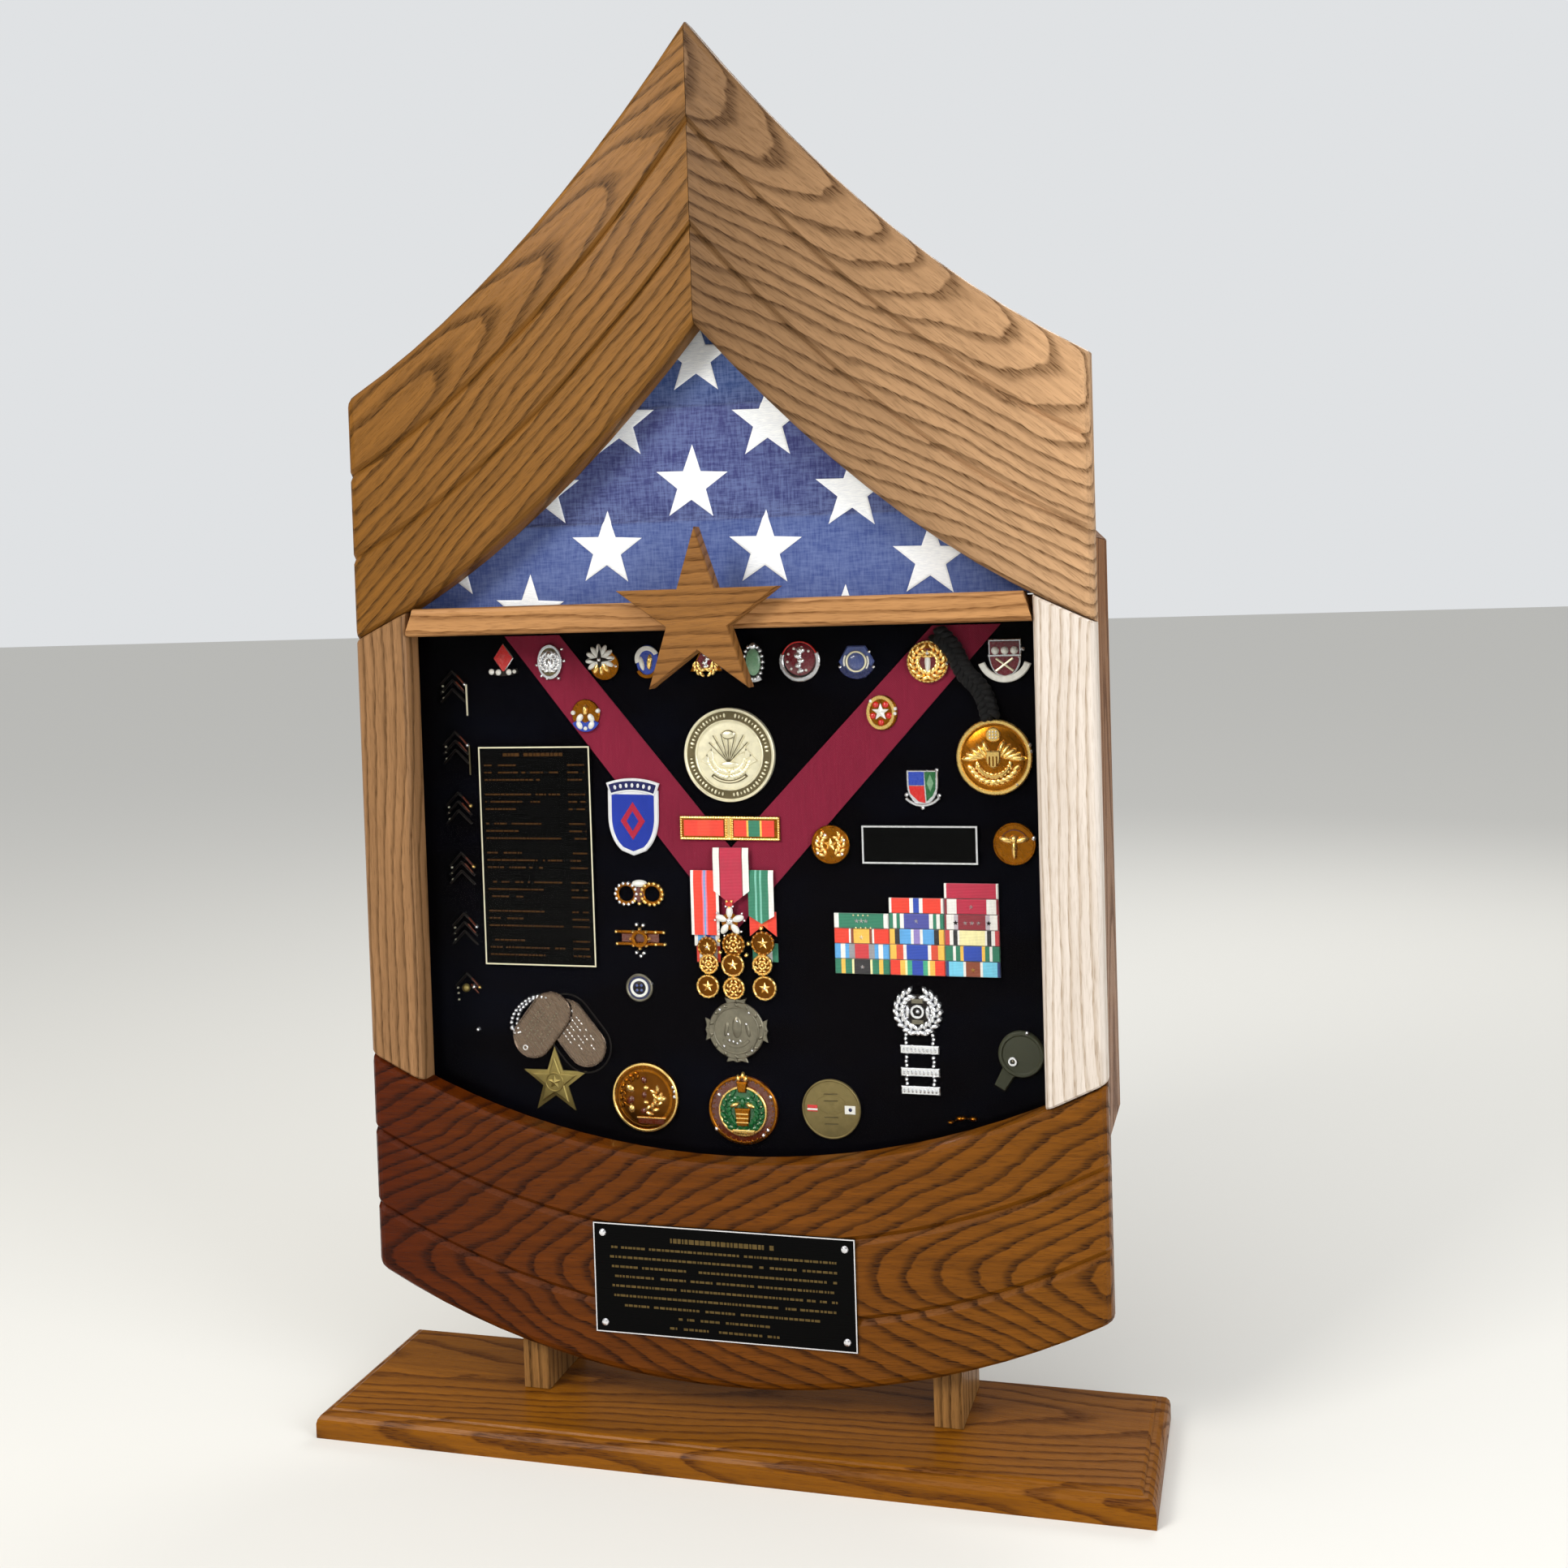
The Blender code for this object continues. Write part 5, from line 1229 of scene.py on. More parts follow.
def make_coins():
    """Two coins, a wreath medal and a brass star near the board's lower edge."""
    p = relief("gold_coin", (-0.064, 0.2085), 22.8, 2.2, 1.8, DEEP_GOLD)
    p.ring(18.8, 20.4, 2.0, 2.6, BROWN_GOLD, sides=64, bevel=0.3)
    p.ring(21.2, 22.8, 2.6, 3.4, GOLD, sides=64, bevel=0.4)
    p.dome((0, 0), 18.4, 2.0, 2.7, BROWN_GOLD, sides=40)
    for u, v, size, dark in ((-10.5, 5.6, 2.7, False), (-10.2, -2.2, 2.6, True), (-9.8, -7.8, 2.3, False),
                             (-0.6, 11.5, 2.1, True), (0.6, 6.4, 1.7, False), (-0.6, 1.6, 2.0, True),
                             (0.4, -3.2, 1.6, False), (-1.0, -9.0, 2.4, True)):
        p.dome((u, v), size, 2.0, 4.2, TAWNY if dark else GOLD, 1.3, v)
    p.leaves(9.0, 5, radians(-75), radians(35), 2.0, 4.6, GOLD, 3.2)
    p.leaves(15.6, 7, radians(110), radians(200), 2.0, 3.8, DEEP_GOLD, 2.4)
    p.dome((10.6, -0.5), 2.6, 2.0, 5.0, GOLD, 1.6)
    p.plate(rectangle(18, 3.6, (3.6, -15.6)), 2.0, 2.8, TAWNY, 0.2)
    p.plate(rectangle(20, 0.8, (3.8, -13.4)), 2.0, 3.2, GOLD, 0.2)
    p.beads(((19.6, 7.6), (20.6, 4.6), (20.4, 1.2)), 1.5, 2.0, 3.6, SILVER)
    p.make(slot="brass", replaces=("gold_coin",))

    p = relief("bronze_coin", (0.062, 0.2065), 19.2, 1.6, 1.1, DULL_BRONZE)
    p.plate(rectangle(6.6, 4.2, (-12.4, 0.2)), 1.5, 2.0, RED, 0.15)
    p.plate(rectangle(6.8, 1.2, (-12.4, -0.4)), 1.9, 2.2, WHITE, 0.1)
    p.plate(rectangle(7.0, 5.4, (12.4, 0.0)), 1.5, 2.0, WHITE, 0.15)
    p.dome((12.6, 0.2), 1.3, 1.9, 2.4, NAVY)
    p.ring(9.6, 10.2, 1.5, 1.8, DULL_BRONZE, (0, 3), 40, 0.1, 0.6)
    for v in (9.6, 5.2, -5.4, -9.8):
        p.tube(((-4.6, v, 1.6), (4.4, v + 0.3, 1.6)), 0.35, PATINA, 6)
    p.make()

    p = Piece("wreath_medal", (0.003, 0.203))
    p.plate(circle(23.4, 64, stretch=0.96), 0, 1.6, TAWNY, 0.7)
    p.ring(21.4, 23.4, 1.0, 2.4, DEEP_GOLD, sides=64, bevel=0.4, stretch=0.96)
    crest_ring(p, 20.2, 34, DEEP_GOLD, 1.4, 2.8, 0.7)
    p.beads(((-16, 9.6), (-2.0, 16), (10, 11.2), (-18.4, -13), (19, 9.6), (13.4, -15.8), (16.6, -12.2)),
            1.5, 1.4, 3.6, SILVER)
    p.plate(circle(15.4, 48, (0, -0.5)), 1.2, 2.4, GREEN, 0.5)
    p.ring(15.0, 16.4, 1.2, 3.4, GOLD, (0, -0.5), bevel=0.4)
    p.wreath(11.4, 8, 252, 118, 2.2, 4.2, GREEN, 3.6, (0, -0.5))
    crest_ring(p, 13.0, 16, BRONZE, 2.4, 4.4, 0.75, radians(130), radians(280))
    p.plate([(-4, -10), (4, -10), (5.4, 1.6), (-5.4, 1.6)], 2.2, 4.4, DEEP_GOLD, 0.7)
    for v in (-7.4, -4.6, -1.8):
        p.plate(rectangle(8.4, 0.8, (0, v)), 4.0, 4.8, GOLD, 0.2)
    for side in (-1, 1):
        p.dome((side * 5.6, 3.6), 1.7, 2.2, 5.0, GOLD, 2.2, -side * 0.3)
    p.dome((0, 5.2), 1.9, 2.2, 4.6, GREEN, 1.8, pi / 2)
    p.plate([(-2.6, 12), (2.6, 12), (4.0, 19), (-4.0, 19)], 1.4, 4.2, DEEP_GOLD, 0.7)
    for u, v in ((-2.4, 21), (0.6, 22.8), (2.6, 20.6)):
        p.dome((u, v), 1.5, 1.8, 4.6, GOLD, 1.7, pi / 2 - u * 0.1)
    p.plate(rectangle(15, 2.2, (0.6, -13.4)), 2.0, 4.4, GOLD, 0.5)
    p.make()

    p = Piece("brass_star", (-0.128, 0.216))
    p.facets(star(23.5, 0.40), 0.0, 1.2, 3.4, OLD_BRASS)
    p.plate(star(16.5, 0.42), 1.8, 3.0, OLD_BRASS, 0.6)
    p.ring(5.6, 6.6, 2.8, 3.7, OLD_BRASS, bevel=0.3)
    p.facets(star(4.8, 0.45), 2.8, 3.2, 4.6, OLD_BRASS)
    p.make(slot="brass", replaces=("brass_star",))


# ---------------------------------------------------------------- tags and chain

TAGS = (((-0.112, 0.249), -0.9, 0.4), ((-0.136, 0.254), 0.9, 2.0))      # centre, turn, height over the felt
TAG_LONG, TAG_WIDE = 50.5, 28.5


def stadium(long, wide, each=14):
    reach = (long - wide) / 2
    right = [(reach + wide / 2 * cos(a), wide / 2 * sin(a)) for a in spread(-pi / 2, pi / 2, each)]
    left = [(-reach + wide / 2 * cos(a), wide / 2 * sin(a)) for a in spread(pi / 2, 3 * pi / 2, each)]
    return right + left


def make_tags():
    """Two pressed steel tags with rolled rims and rows of plain raised dashes, and their ball chain."""
    p = Piece("identity_tags", (0.0, 0.0))
    for centre, turn, lift in TAGS:
        p.centre, p.turn = centre, turn
        blank = stadium(TAG_LONG, TAG_WIDE)
        rim = stadium(TAG_LONG - 3.0, TAG_WIDE - 3.0)
        p.plate(blank, lift, lift + 0.6, TAG_METAL, 0.2)
        rolled = []
        for outline, height in ((blank, 0.5), (inset(blank, 0.5), 1.15),
                                (inset(blank, 1.0), 1.15), (rim, 0.55)):
            rolled.append([(u, v, lift + height) for u, v in outline])
        p.skin(rolled, TAG_METAL, capped=False)
        p.ring(1.1, 1.9, lift + 0.5, lift + 1.0, SILVER, (-TAG_LONG / 2 + 5.4, 0), 20, 0.15)
        tone = SILVER if turn < 0 else GREY_METAL
        for v, length in ((7.2, 26), (3.6, 30), (0.0, 22), (-3.6, 28), (-7.2, 16)):
            for u in np.arange(-13, -13 + length, 2.6):
                if RNG.random() < 0.82:
                    p.dome((u, v), 0.62, lift + 0.4, lift + 1.25, tone, 1.7, 0.0, 6, 2)
    p.centre, p.turn, _ = TAGS[0]
    rubber = stadium(TAG_LONG + 6.5, TAG_WIDE + 7.5, 16)
    p.tube([(u, v, 1.0) for u, v in rubber + rubber[:1]], 0.55, GUNMETAL, 6)
    p.make(slot="tag_steel", replaces=("dog_tags",))

    p = Piece("ball_chain", (-0.1415, 0.2635))
    for bulge in (0.0, 3.4):
        route = [(9.0, 9.0), (2.0 - bulge * 0.3, 9.8 - bulge * 0.4), (-7 - bulge * 0.1, 5.6 - bulge),
                 (-14.0 + bulge, -1.5), (-17.0 + bulge * 1.3, -9.5), (-14.0 + bulge, -14.5), (-9.5, -15.8)]
        curve = smooth_route(route, 24)
        since = 9.0
        for here, before in zip(curve, [curve[0]] + curve):
            since += (here - before).length
            if since >= 3.0:
                p.dome((here.x, here.y), 1.35, 0.6, 3.3, SILVER, sides=10, steps=3)
                since = 0.0
        p.tube([(q.x, q.y, 1.0) for q in curve], 0.25, GUNMETAL, 6)
    p.beads(((-16.6, -12.6), (-14.6, -15.4)), 1.9, 0.2, 3.4, SILVER)
    p.make(slot="tag_steel")


# ---------------------------------------------------------------- medals and ribbon bars

CRIMSON, CLARET = srgb(188, 14, 60), srgb(140, 22, 42)
SCARLET, PALE = srgb(238, 52, 24), srgb(242, 238, 234)
AZURE, ROYAL = srgb(88, 166, 228), srgb(24, 66, 176)
LEAF, CREAM = srgb(28, 122, 92), srgb(248, 238, 178)
AMBER, SOOT = srgb(246, 192, 76), srgb(28, 24, 30)
PINK, RUST = srgb(226, 130, 160), srgb(140, 62, 30)
SLATE_TONE, JADE = srgb(116, 140, 196), srgb(120, 190, 170)


def hanging_ribbon(name, left, right, top, bottom, point, stripes, lift):
    """A medal ribbon that ends in a point, as a thin sheet with a soft roll at its top."""
    rows = []
    for t in spread(0.0, 1.0, 16):
        row = []
        for s in spread(-1.0, 1.0, 13):
            x = (left + right) / 2 + s * (right - left) / 2
            low = bottom + point * abs(s)
            z = top + t * (low - top)
            roll = 0.8 * MM * max(0.0, 1 - t * 6)
            wave = 0.25 * MM * sin(3.0 * pi * t) * cos(pi * s / 2)
            row.append((x, FELT - lift * MM + roll - wave, z))
        rows.append(row)
    ribbon = cloth_sheet(name, rows, striped(name + " silk", left, right, stripes), 0.5 * MM)
    return ribbon


def make_medals():
    """Three hanging ribbons, the tips of the ribbons behind them, and their medals."""
    centre = hanging_ribbon("centre_ribbon", -0.0115, 0.0125, 0.3745, 0.3375, 0.009,
                            ((PALE, 1), (CLARET, 0.2), (CRIMSON, 3.4), (CLARET, 0.2), (PALE, 1)), 4.6)
    hanging_ribbon("red_ribbon", -0.0275, -0.0085, 0.3595, 0.3175, 0.0,
                   ((PALE, 0.7), (SCARLET, 2.2), (PINK, 0.4), (AZURE, 0.35), (PINK, 0.4), (SCARLET, 2.2),
                    (PALE, 0.7)), 3.8)
    hanging_ribbon("green_ribbon", 0.0115, 0.0285, 0.3600, 0.3255, 0.005,
                   ((LEAF, 1.2), (JADE, 0.35), (LEAF, 0.5), (JADE, 0.35), (LEAF, 1.2), (PALE, 0.9)), 3.8)
    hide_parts("medal_row")

    tips = Piece("ribbon_tips", (0.0, 0.300), 0.0, FELT)
    tips.plate(rectangle(17, 9, (-17.8, 14.5)), 1.4, 2.2, striped("pale tip silk", -0.0265, -0.0095,
               ((PALE, 1), (AZURE, 1.6), (PALE, 0.6), (ROYAL, 1.3), (SLATE_TONE, 1.4), (PALE, 1))), 0.1)
    tips.plate(rectangle(16, 11, (-17.2, 4.8)), 0.8, 1.6, striped("rose tip silk", -0.0255, -0.0090,
               ((SCARLET, 0.6), (PALE, 0.7), (CLARET, 2.2), (PALE, 0.7), (SCARLET, 0.6))), 0.1)
    orange = striped("orange tip silk", 0.0115, 0.0295, ((SCARLET, 1), (srgb(250, 96, 48), 1), (SCARLET, 1)))
    tips.plate([(11.4, 33), (29.4, 33), (29.4, 17), (20.4, 24), (11.4, 17)], 1.4, 2.2, orange, 0.1)
    tips.plate(rectangle(17, 12, (21.2, 6.4)), 0.8, 1.6, striped("green tip silk", 0.0128, 0.0300,
               ((LEAF, 1), (PALE, 0.8), (LEAF, 0.6), (PALE, 0.8), (LEAF, 1))), 0.1)
    tips.make(slot="ribbon_silk")

    p = Piece("enamel_star", (-0.001, 0.327))
    p.plate(circle(5.6, 28), 4.8, 5.6, DEEP_GOLD, 0.3)
    for i in range(5):
        angle = pi / 2 + tau * i / 5
        p.dome(polar(6.0, angle), 2.3, 5.0, 7.2, WHITE, 1.75, angle)
        p.beads((polar(10.0, angle + 0.24), polar(10.0, angle - 0.24)), 0.9, 5.0, 6.6, SILVER)
    p.dome((0, 0), 2.6, 5.4, 7.8, SILVER)
    p.plate(rectangle(4.6, 3.0, (0, 11.2)), 5.0, 6.2, RED, 0.4)
    p.beads(((-1.6, 13.0), (1.6, 13.0), (0, 9.0)), 1.0, 5.2, 6.8, GOLD)
    p.make()

    p = Piece("small_medals", (0.0, 0.300))
    discs = ((-17.0, 10.0, 6.4), (-16.0, -1.0, 6.4), (-17.4, -15.8, 7.6), (1.2, 12.0, 7.4), (0.0, -1.5, 7.6),
             (0.6, -16.4, 7.2), (20.6, 13.0, 7.6), (20.2, -0.8, 6.6), (21.0, -16.0, 7.9))
    for number, (u, v, size) in enumerate(discs):
        low = 3.2 + 0.9 * (number % 2)
        tone = GOLD if number % 3 else DEEP_GOLD
        p.plate(circle(size, 32, (u, v)), low, low + 1.4, BROWN_GOLD, 0.4)
        p.ring(size - 1.3, size, low + 1.0, low + 2.6, tone, (u, v), 36, 0.4)
        places = [polar(size - 0.5, a, (u, v)) for a in spread(0.3, tau + 0.3, 15)[:-1]]
        p.beads(places, 0.95, low + 1.4, low + 3.4, GOLD)
        if number % 2:
            p.wreath(size * 0.5, 4, 250, 110, low + 1.2, low + 2.8, GOLD, 1.7, (u, v))
        else:
            p.facets(star(size * 0.5, 0.42, 5, (u, v)), low + 1.2, low + 1.8, low + 2.9, GOLD, (u, v))
        p.dome((u, v), 1.3, low + 1.2, low + 3.2, SILVER if number % 4 == 0 else GOLD)
    p.beads(((19.4, 22.6), (9.0, 5.0), (-8.6, 6.4), (10.6, 12.4), (-9.0, 14.0)), 1.5, 3.0, 5.6, GOLD)
    p.make()

    p = Piece("frosted_medal", (0.0, 0.2552))
    p.plate(circle(18.8, 56), 0.4, 2.2, GREY_METAL, 0.6)
    for angle in (0.0, pi / 2, pi, 3 * pi / 2):
        for side in (-1, 1):
            spot = angle + side * 0.20
            p.plate([polar(16, angle + side * 0.32), polar(22.4, spot + side * 0.14),
                     polar(20.4, spot - side * 0.06), polar(21.2, angle), polar(16, angle)],
                    0.2, 1.8, GREY_METAL, 0.4)
    p.ring(14.6, 15.6, 2.0, 2.8, GREY_METAL, bevel=0.3)
    for i in range(14):
        angle = tau * i / 14 + 0.2
        p.dome(polar(17.0, angle), 1.0, 2.0, 3.0, GREY_METAL, 1.8, angle + 0.8)
    p.dome((0.6, 2.0), 3.4, 2.0, 3.4, GREY_METAL, 2.2, pi / 2)
    p.dome((-6.5, 0.5), 1.5, 2.0, 3.2, GREY_METAL, 3.4, pi / 2 - 0.2)
    p.dome((8.0, 0.5), 1.5, 2.0, 3.2, GREY_METAL, 3.4, pi / 2 + 0.2)
    p.plate(arc_band(9.4, 11.4, radians(215), radians(325), 16), 2.0, 3.0, GREY_METAL, 0.3)
    p.beads(((1.0, 6.2), (-5.2, -2.6), (-4.4, -6.4), (-1.8, -7.2), (0.8, -8.2), (3.0, -6.6), (7.2, 4.6),
             (9.2, 12), (-10.4, 13.4), (-8.2, -10.4), (10.6, -12.6)), 0.9, 2.4, 3.7, SILVER)
    p.make()


RACK_FOOT = 0.2943
RACK_COLUMNS = (                  # left, right, top, and each bar's stripes from left to middle
    (0.0675, 0.1032, 0.3333, (
        ((PALE, 1.6), (LEAF, 7)),
        ((SCARLET, 4.2), (PALE, 0.5), (RUST, 0.8), (AMBER, 2.2)),
        ((AZURE, 2), (PALE, 1.4), (AZURE, 1.2), (srgb(150, 150, 156), 1.8), (srgb(210, 50, 58), 2.2)),
        ((LEAF, 2), (AMBER, 1.2), (LEAF, 2), (CREAM, 0.7), (SOOT, 2.4)))),
    (0.1034, 0.1387, 0.3436, (
        ((PALE, 0.9), (SCARLET, 5.6), (PALE, 1.1), (ROYAL, 0.9)),
        ((LEAF, 1.2), (PALE, 1), (LEAF, 1), (PALE, 1.1), (srgb(70, 74, 160), 3.6)),
        ((AMBER, 1.6), (SOOT, 1.4), (AZURE, 3.2), (PALE, 0.8), (srgb(150, 130, 200), 0.9)),
        ((AMBER, 1.8), (srgb(220, 70, 40), 1.8), (PALE, 0.9), (ROYAL, 2.8)),
        ((SCARLET, 3.4), (AMBER, 1.6), (CREAM, 0.7), (srgb(60, 170, 130), 1.6), (ROYAL, 1.8)))),
    (0.1389, 0.1735, 0.3533, (
        ((PALE, 1), (CRIMSON, 9)),
        ((CLARET, 0.9), (PALE, 3.0), (CRIMSON, 4.6)),
        ((CLARET, 0.6), (PALE, 2.2), (srgb(190, 180, 190), 1.2), (CLARET, 4.0)),
        ((srgb(200, 60, 66), 1.4), (PALE, 1.0), (SOOT, 1.2), (PALE, 0.6), (CREAM, 3.6)),
        ((LEAF, 2.2), (PALE, 0.8), (LEAF, 1.3), (AMBER, 0.9), (ROYAL, 2.6)),
        ((srgb(30, 60, 120), 0.8), (srgb(118, 208, 240), 3.6), (PALE, 0.6), (RUST, 1.8)))),
)


RACK_STARS = (
    (82.5, 328.4, SILVER), (85.5, 328.4, SILVER), (88.5, 328.4, SILVER), (85.3, 318.0, BRONZE),
    (121.0, 329.0, SILVER), (156.0, 338.5, SILVER), (152.0, 328.5, SILVER), (156.2, 328.5, SILVER),
    (160.4, 328.5, SILVER), (146.0, 328.5, GUNMETAL), (166.8, 328.5, GUNMETAL), (85.5, 299.0, SILVER),
    (156.2, 299.0, GOLD),
)


def mirrored(stripes):
    return list(stripes) + [(colour, width) for colour, width in stripes[::-1]]


def make_rack():
    """Rows of ribbon bars, each a silk band wrapped round a thin bar."""
    p = Piece("ribbon_rack", (0.0, 0.0))
    for column, (left, right, top, bars) in enumerate(RACK_COLUMNS):
        pitch = (top - RACK_FOOT) / len(bars)
        for row, stripes in enumerate(bars):
            silk = striped(f"bar silk {column}{row}", left, right, mirrored(stripes))
            middle = ((left + right) / 2 / MM, (top - pitch * (row + 0.5)) / MM)
            wide = (right - left) / MM - 0.4
            p.plate(rectangle(wide, pitch / MM - 0.45, middle), 0.6, 2.6, silk, 0.5)
    back = [(0.0680, 0.2950), (0.1730, 0.2950), (0.1730, 0.3525), (0.1394, 0.3525), (0.1394, 0.3428),
            (0.1040, 0.3428), (0.1040, 0.3325), (0.0680, 0.3325)]
    p.plate([(x / MM, z / MM) for x, z in back], 0.0, 0.8, ZINC, 0.2)
    for u, v, tone in RACK_STARS:
        p.facets(star(1.7, 0.42, 5, (u, v)), 2.4, 2.8, 3.5, tone, (u, v))
    clasps = [(u, 324.0 if k % 2 else 332.0) for k, u in enumerate(spread(80.5, 91.5, 8))]
    p.beads(clasps, 0.7, 2.4, 3.3, CREAM_METAL)
    p.make(slot="ribbon_silk", replaces=("ribbon_rack",))


def make_ribbon_bar():
    """Two ribbons side by side in one beaded frame."""
    p = Piece("ribbon_bar", (0.0, 0.387), radians(-0.4), OVER_SASH)
    wide, tall = 67.5, 15.5
    p.plate(rectangle(wide, tall), 0, 1.2, DEEP_GOLD, 0.3)
    plain = ((SCARLET, 1), (srgb(240, 66, 34), 1), (SCARLET, 1))
    banded = mirrored(((SCARLET, 3.4), (AMBER, 0.5), (LEAF, 1.5)))
    left_silk = striped("scarlet silk", -0.0300, -0.0045, plain)
    right_silk = striped("banded silk", 0.0030, 0.0305, banded)
    p.plate(rectangle(27, 10.4, (-17.4, 0)), 1.0, 2.0, left_silk, 0.2)
    p.plate(rectangle(27, 10.4, (16.6, 0)), 1.0, 2.0, right_silk, 0.2)
    for v in (-tall / 2 + 0.9, tall / 2 - 0.9):
        p.tube(((-wide / 2 + 0.8, v, 1.6), (wide / 2 - 0.8, v, 1.6)), 0.75, GOLD)
        p.beads([(u, v) for u in spread(-wide / 2 + 1, wide / 2 - 1, 38)], 0.85, 1.6, 2.7, GOLD)
    for u in (-wide / 2 + 0.9, -2.4, 2.0, wide / 2 - 0.9):
        p.beads([(u, v) for v in spread(-tall / 2 + 1, tall / 2 - 1, 10)], 0.95, 1.2, 2.7, GOLD)
    p.plate(rectangle(3.2, tall, (-0.2, 0)), 0.8, 2.0, GOLD, 0.4)
    p.make(slot="ribbon_silk", replaces=("ribbon_bar",))


def make_patch():
    """An embroidered shield with a lozenge, and a curved tab above it."""
    white = woven("white satin stitch", srgb(226, 226, 230), 0.0011, 0.3, 0.6)
    blue = woven("blue satin stitch", srgb(26, 52, 160), 0.0011, 0.2, 0.7)
    red = woven("red satin stitch", srgb(176, 30, 60), 0.0011, 0.2, 0.7)
    navy = woven("navy satin stitch", srgb(24, 28, 84), 0.0011, 0.2, 0.7)
    p = Piece("embroidered_patch", (-0.066, 0.390), radians(-1), OVER_SASH)
    p.plate(shield(35, 43), 0, 1.6, white, 0.7)
    patch = p.make(slot="patch_twill", replaces=("shield_patch",))
    p = Piece("patch_motif", (-0.066, 0.390), radians(-1), OVER_SASH)
    p.plate(shield(29.5, 37.5, (0, 0.2)), 1.2, 1.9, blue, 0.3)
    p.plate(diamond(17, 25, (0, 1.5)), 1.6, 2.4, red, 0.4)
    p.plate(diamond(8.5, 13, (0, 1.5)), 2.0, 2.7, blue, 0.3)
    motif = p.make(slot="patch_twill")
    p = Piece("embroidered_tab", (-0.066, 0.390), radians(-1), OVER_SASH)
    p.plate(arc_band(45, 54, radians(70), radians(110), 24, (0, -24.5)), 0.6, 2.2, white, 0.6)
    p.plate(arc_band(46.6, 52.4, radians(71.6), radians(108.4), 24, (0, -24.5)), 1.8, 2.5, navy, 0.2)
    for angle in spread(radians(76), radians(104), 7):
        middle = (49.5 * cos(angle), -24.5 + 49.5 * sin(angle))
        p.dome(middle, 1.2, 2.2, 3.0, white, 1.5, angle, 8, 2)
    tab = p.make(slot="patch_twill")


# ---------------------------------------------------------------- plates

def strokes(p, width, left, right, v, height, material, seed):
    """One row of plain broken strokes between two edges, standing for a line of engraving."""
    marks = np.random.default_rng(seed)
    u = left
    while u < right:
        long = min(right - u, marks.uniform(0.9, 3.4))
        if long > 0.5 and marks.random() < 0.9:
            p.plate(rectangle(long, width, (u + long / 2, v)), height, height + 0.05, material, 0.01)
        u += long + marks.uniform(0.45, 0.9)


def frame_line(p, width, tall, line, low, high, material):
    """A thin raised border."""
    outer = rectangle(width, tall)
    p.skin([[(u, v, low) for u, v in outer], [(u, v, high) for u, v in outer],
            [(u, v, high) for u, v in inset(outer, line)], [(u, v, low) for u, v in inset(outer, line)]],
           material, looped=True)


def make_plates():
    """Black lacquer, borders and plain engraving of the plaque and the two plates."""
    for node in ("front_plaque", "history_plate", "name_plate"):
        wear(node, BLACK)
    engraved = metal("worn engraving", srgb(112, 94, 58), 0.55, 0.6)
    faint = metal("faint engraving", srgb(84, 58, 34), 0.55, 0.6)

    low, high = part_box("front_plaque")
    front = low.y
    wide, tall = (high.x - low.x) / MM, (high.z - low.z) / MM
    p = Piece("plaque_engraving", ((low.x + high.x) / 2, (low.z + high.z) / 2), 0.0, front)
    strokes(p, 3.0, -34, 34, 26.5, 0.0, engraved, 3)
    reach = (74, 75, 74, 72, 74, 73, 66, 30, 36)
    for row, half in enumerate(reach):
        strokes(p, 1.5, -half, half, 20.0 - 6.2 * row, 0.0, engraved, 20 + row)
    frame_line(p, wide - 0.3, tall - 0.3, 0.7, -0.5, 0.12, SILVER)
    p.make(slot="black_plate")

    for name, node, line, tone in (("history_border", "history_plate", 0.9, BRONZE),
                                   ("name_border", "name_plate", 1.1, SILVER)):
        low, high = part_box(node)
        p = Piece(name, ((low.x + high.x) / 2, (low.z + high.z) / 2), 0.0, low.y)
        frame_line(p, (high.x - low.x) / MM - 0.4, (high.z - low.z) / MM - 0.4, line, -0.3, 0.25, tone)
        if node == "history_plate":
            strokes(p, 2.2, -22, 22, 68, 0.0, faint, 5)
            for row in range(27):
                v = 61 - 4.9 * row
                if row % 4 < 3:
                    strokes(p, 1.1, -36, -36 + 26 + 14 * ((row * 5) % 3), v, 0.0, faint, 60 + row)
                    strokes(p, 1.1, 24, 36, v, 0.0, faint, 160 + row)
        p.make(slot="black_plate")


# ---------------------------------------------------------------- hardware

LEAF_THICK = 1.2 * MM              # how far the flat part of a hinge leaf stands proud of its back
LEAF_MIDDLE = 4.1 * MM             # from a leaf's outer edge to its screws
SCREW_RADIUS = 2.2 * MM


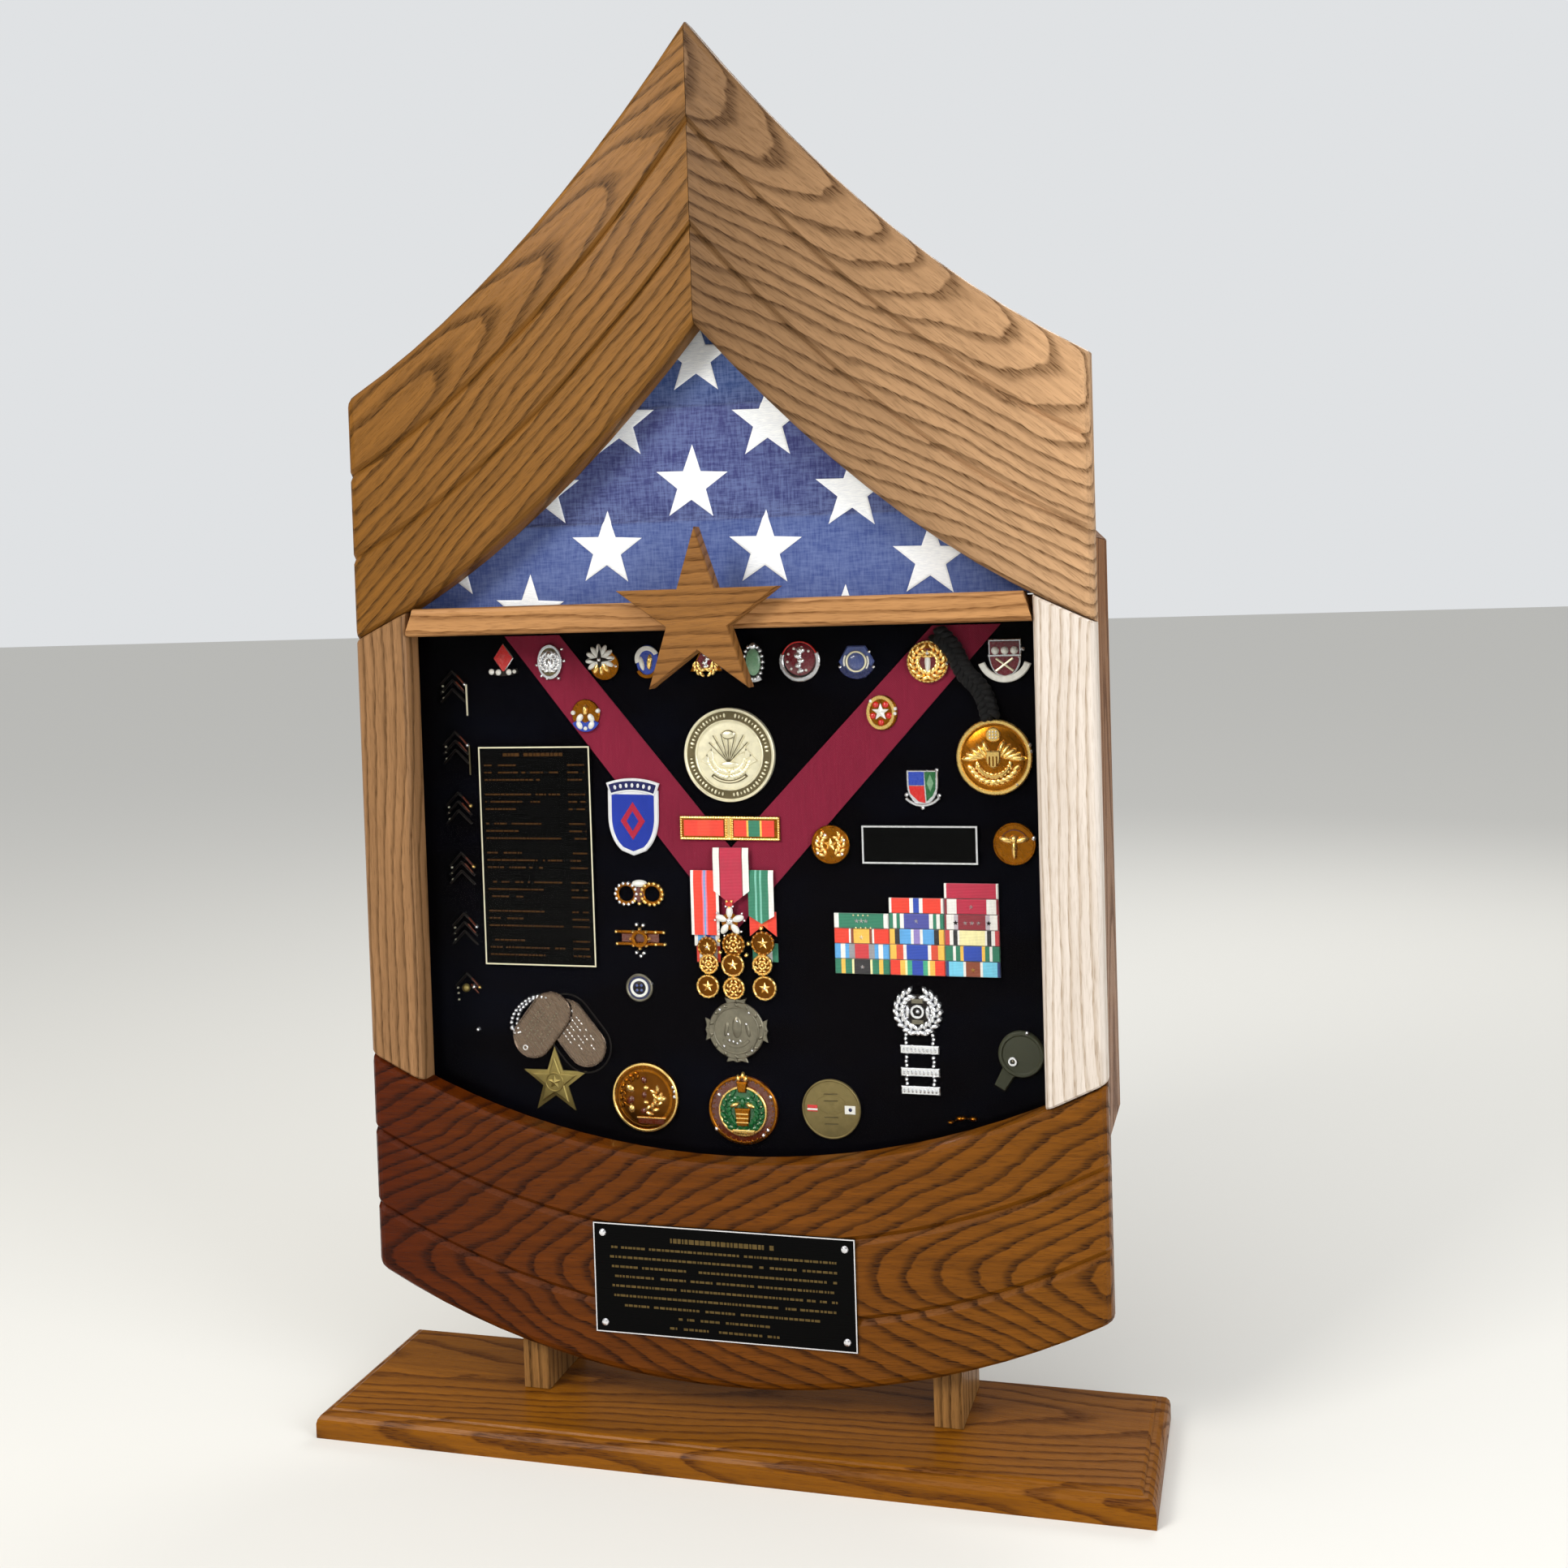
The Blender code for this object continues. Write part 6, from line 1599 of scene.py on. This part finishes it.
def screw_head(name, x, z, y, body):
    """A countersunk head with a cross slot, which faces the back."""
    shape = bmesh.new()
    rings = ((0.98, 0.0), (1.0, 0.18), (0.86, 0.42), (0.30, 0.55), (0.26, 0.20), (0.06, 0.12))
    rows = []
    for reach, height in rings:
        row = []
        for k in range(24):
            angle = tau * k / 24
            notch = 1.0
            if reach < 0.35:
                notch = 1.0 + 0.9 * max(0.0, cos(4 * angle))
            u, v = polar(SCREW_RADIUS * reach * notch, angle, (x, z))
            row.append(shape.verts.new((u, y + height * SCREW_RADIUS * 0.5, v)))
        rows.append(row)
    for row, following in zip(rows, rows[1:]):
        for k in range(24):
            shape.faces.new((row[k], row[(k + 1) % 24], following[(k + 1) % 24], following[k]))
    shape.faces.new(rows[0])
    shape.faces.new(rows[-1])
    bmesh.ops.recalc_face_normals(shape, faces=shape.faces)
    place_mesh(name, shape, [ZINC], body, 0.7)


def make_hardware():
    """Metals of the hinges, buttons, screws and catch, and the screws in the hinge leaves."""
    brass = metal("brass hardware", srgb(196, 158, 88), 0.30, 0.5)
    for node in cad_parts:
        if node.startswith(("hinge_", "turn_button", "door_knob")):
            wear(node, brass)
        elif node.startswith(("button_screw", "post_screw", "catch_plate")):
            wear(node, ZINC)
        elif node.startswith("plaque_pin"):
            wear(node, SILVER)
    wear("catch_magnet", plastic_material("brown catch", srgb(88, 62, 44)))
    for node, body in (("frame_leaf", "root"), ("door_leaf", "rear_door")):
        for side in ("lower", "upper"):
            low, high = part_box(f"hinge_{side}_{node}")
            inner = -1 if node == "frame_leaf" else 1
            x = (low.x if inner < 0 else high.x) - inner * LEAF_MIDDLE
            for number, share in enumerate((0.2, 0.8)):
                z = low.z + (high.z - low.z) * share
                screw_head(f"screw_{side}_{node}_{number}", x, z, low.y + LEAF_THICK, body)


make_camera()
make_studio()
dress_wood()
for pane in ("flag_glass", "medal_glass"):
    wear(pane, glass_material())
wear("display_board", felt_material())
make_plates()
make_sash()
make_flag()
make_cord()
make_top_badges()
make_medallion()
make_cap_device()
make_small_pieces()
make_coins()
make_tags()
make_medals()
make_rack()
make_ribbon_bar()
make_patch()
make_hardware()
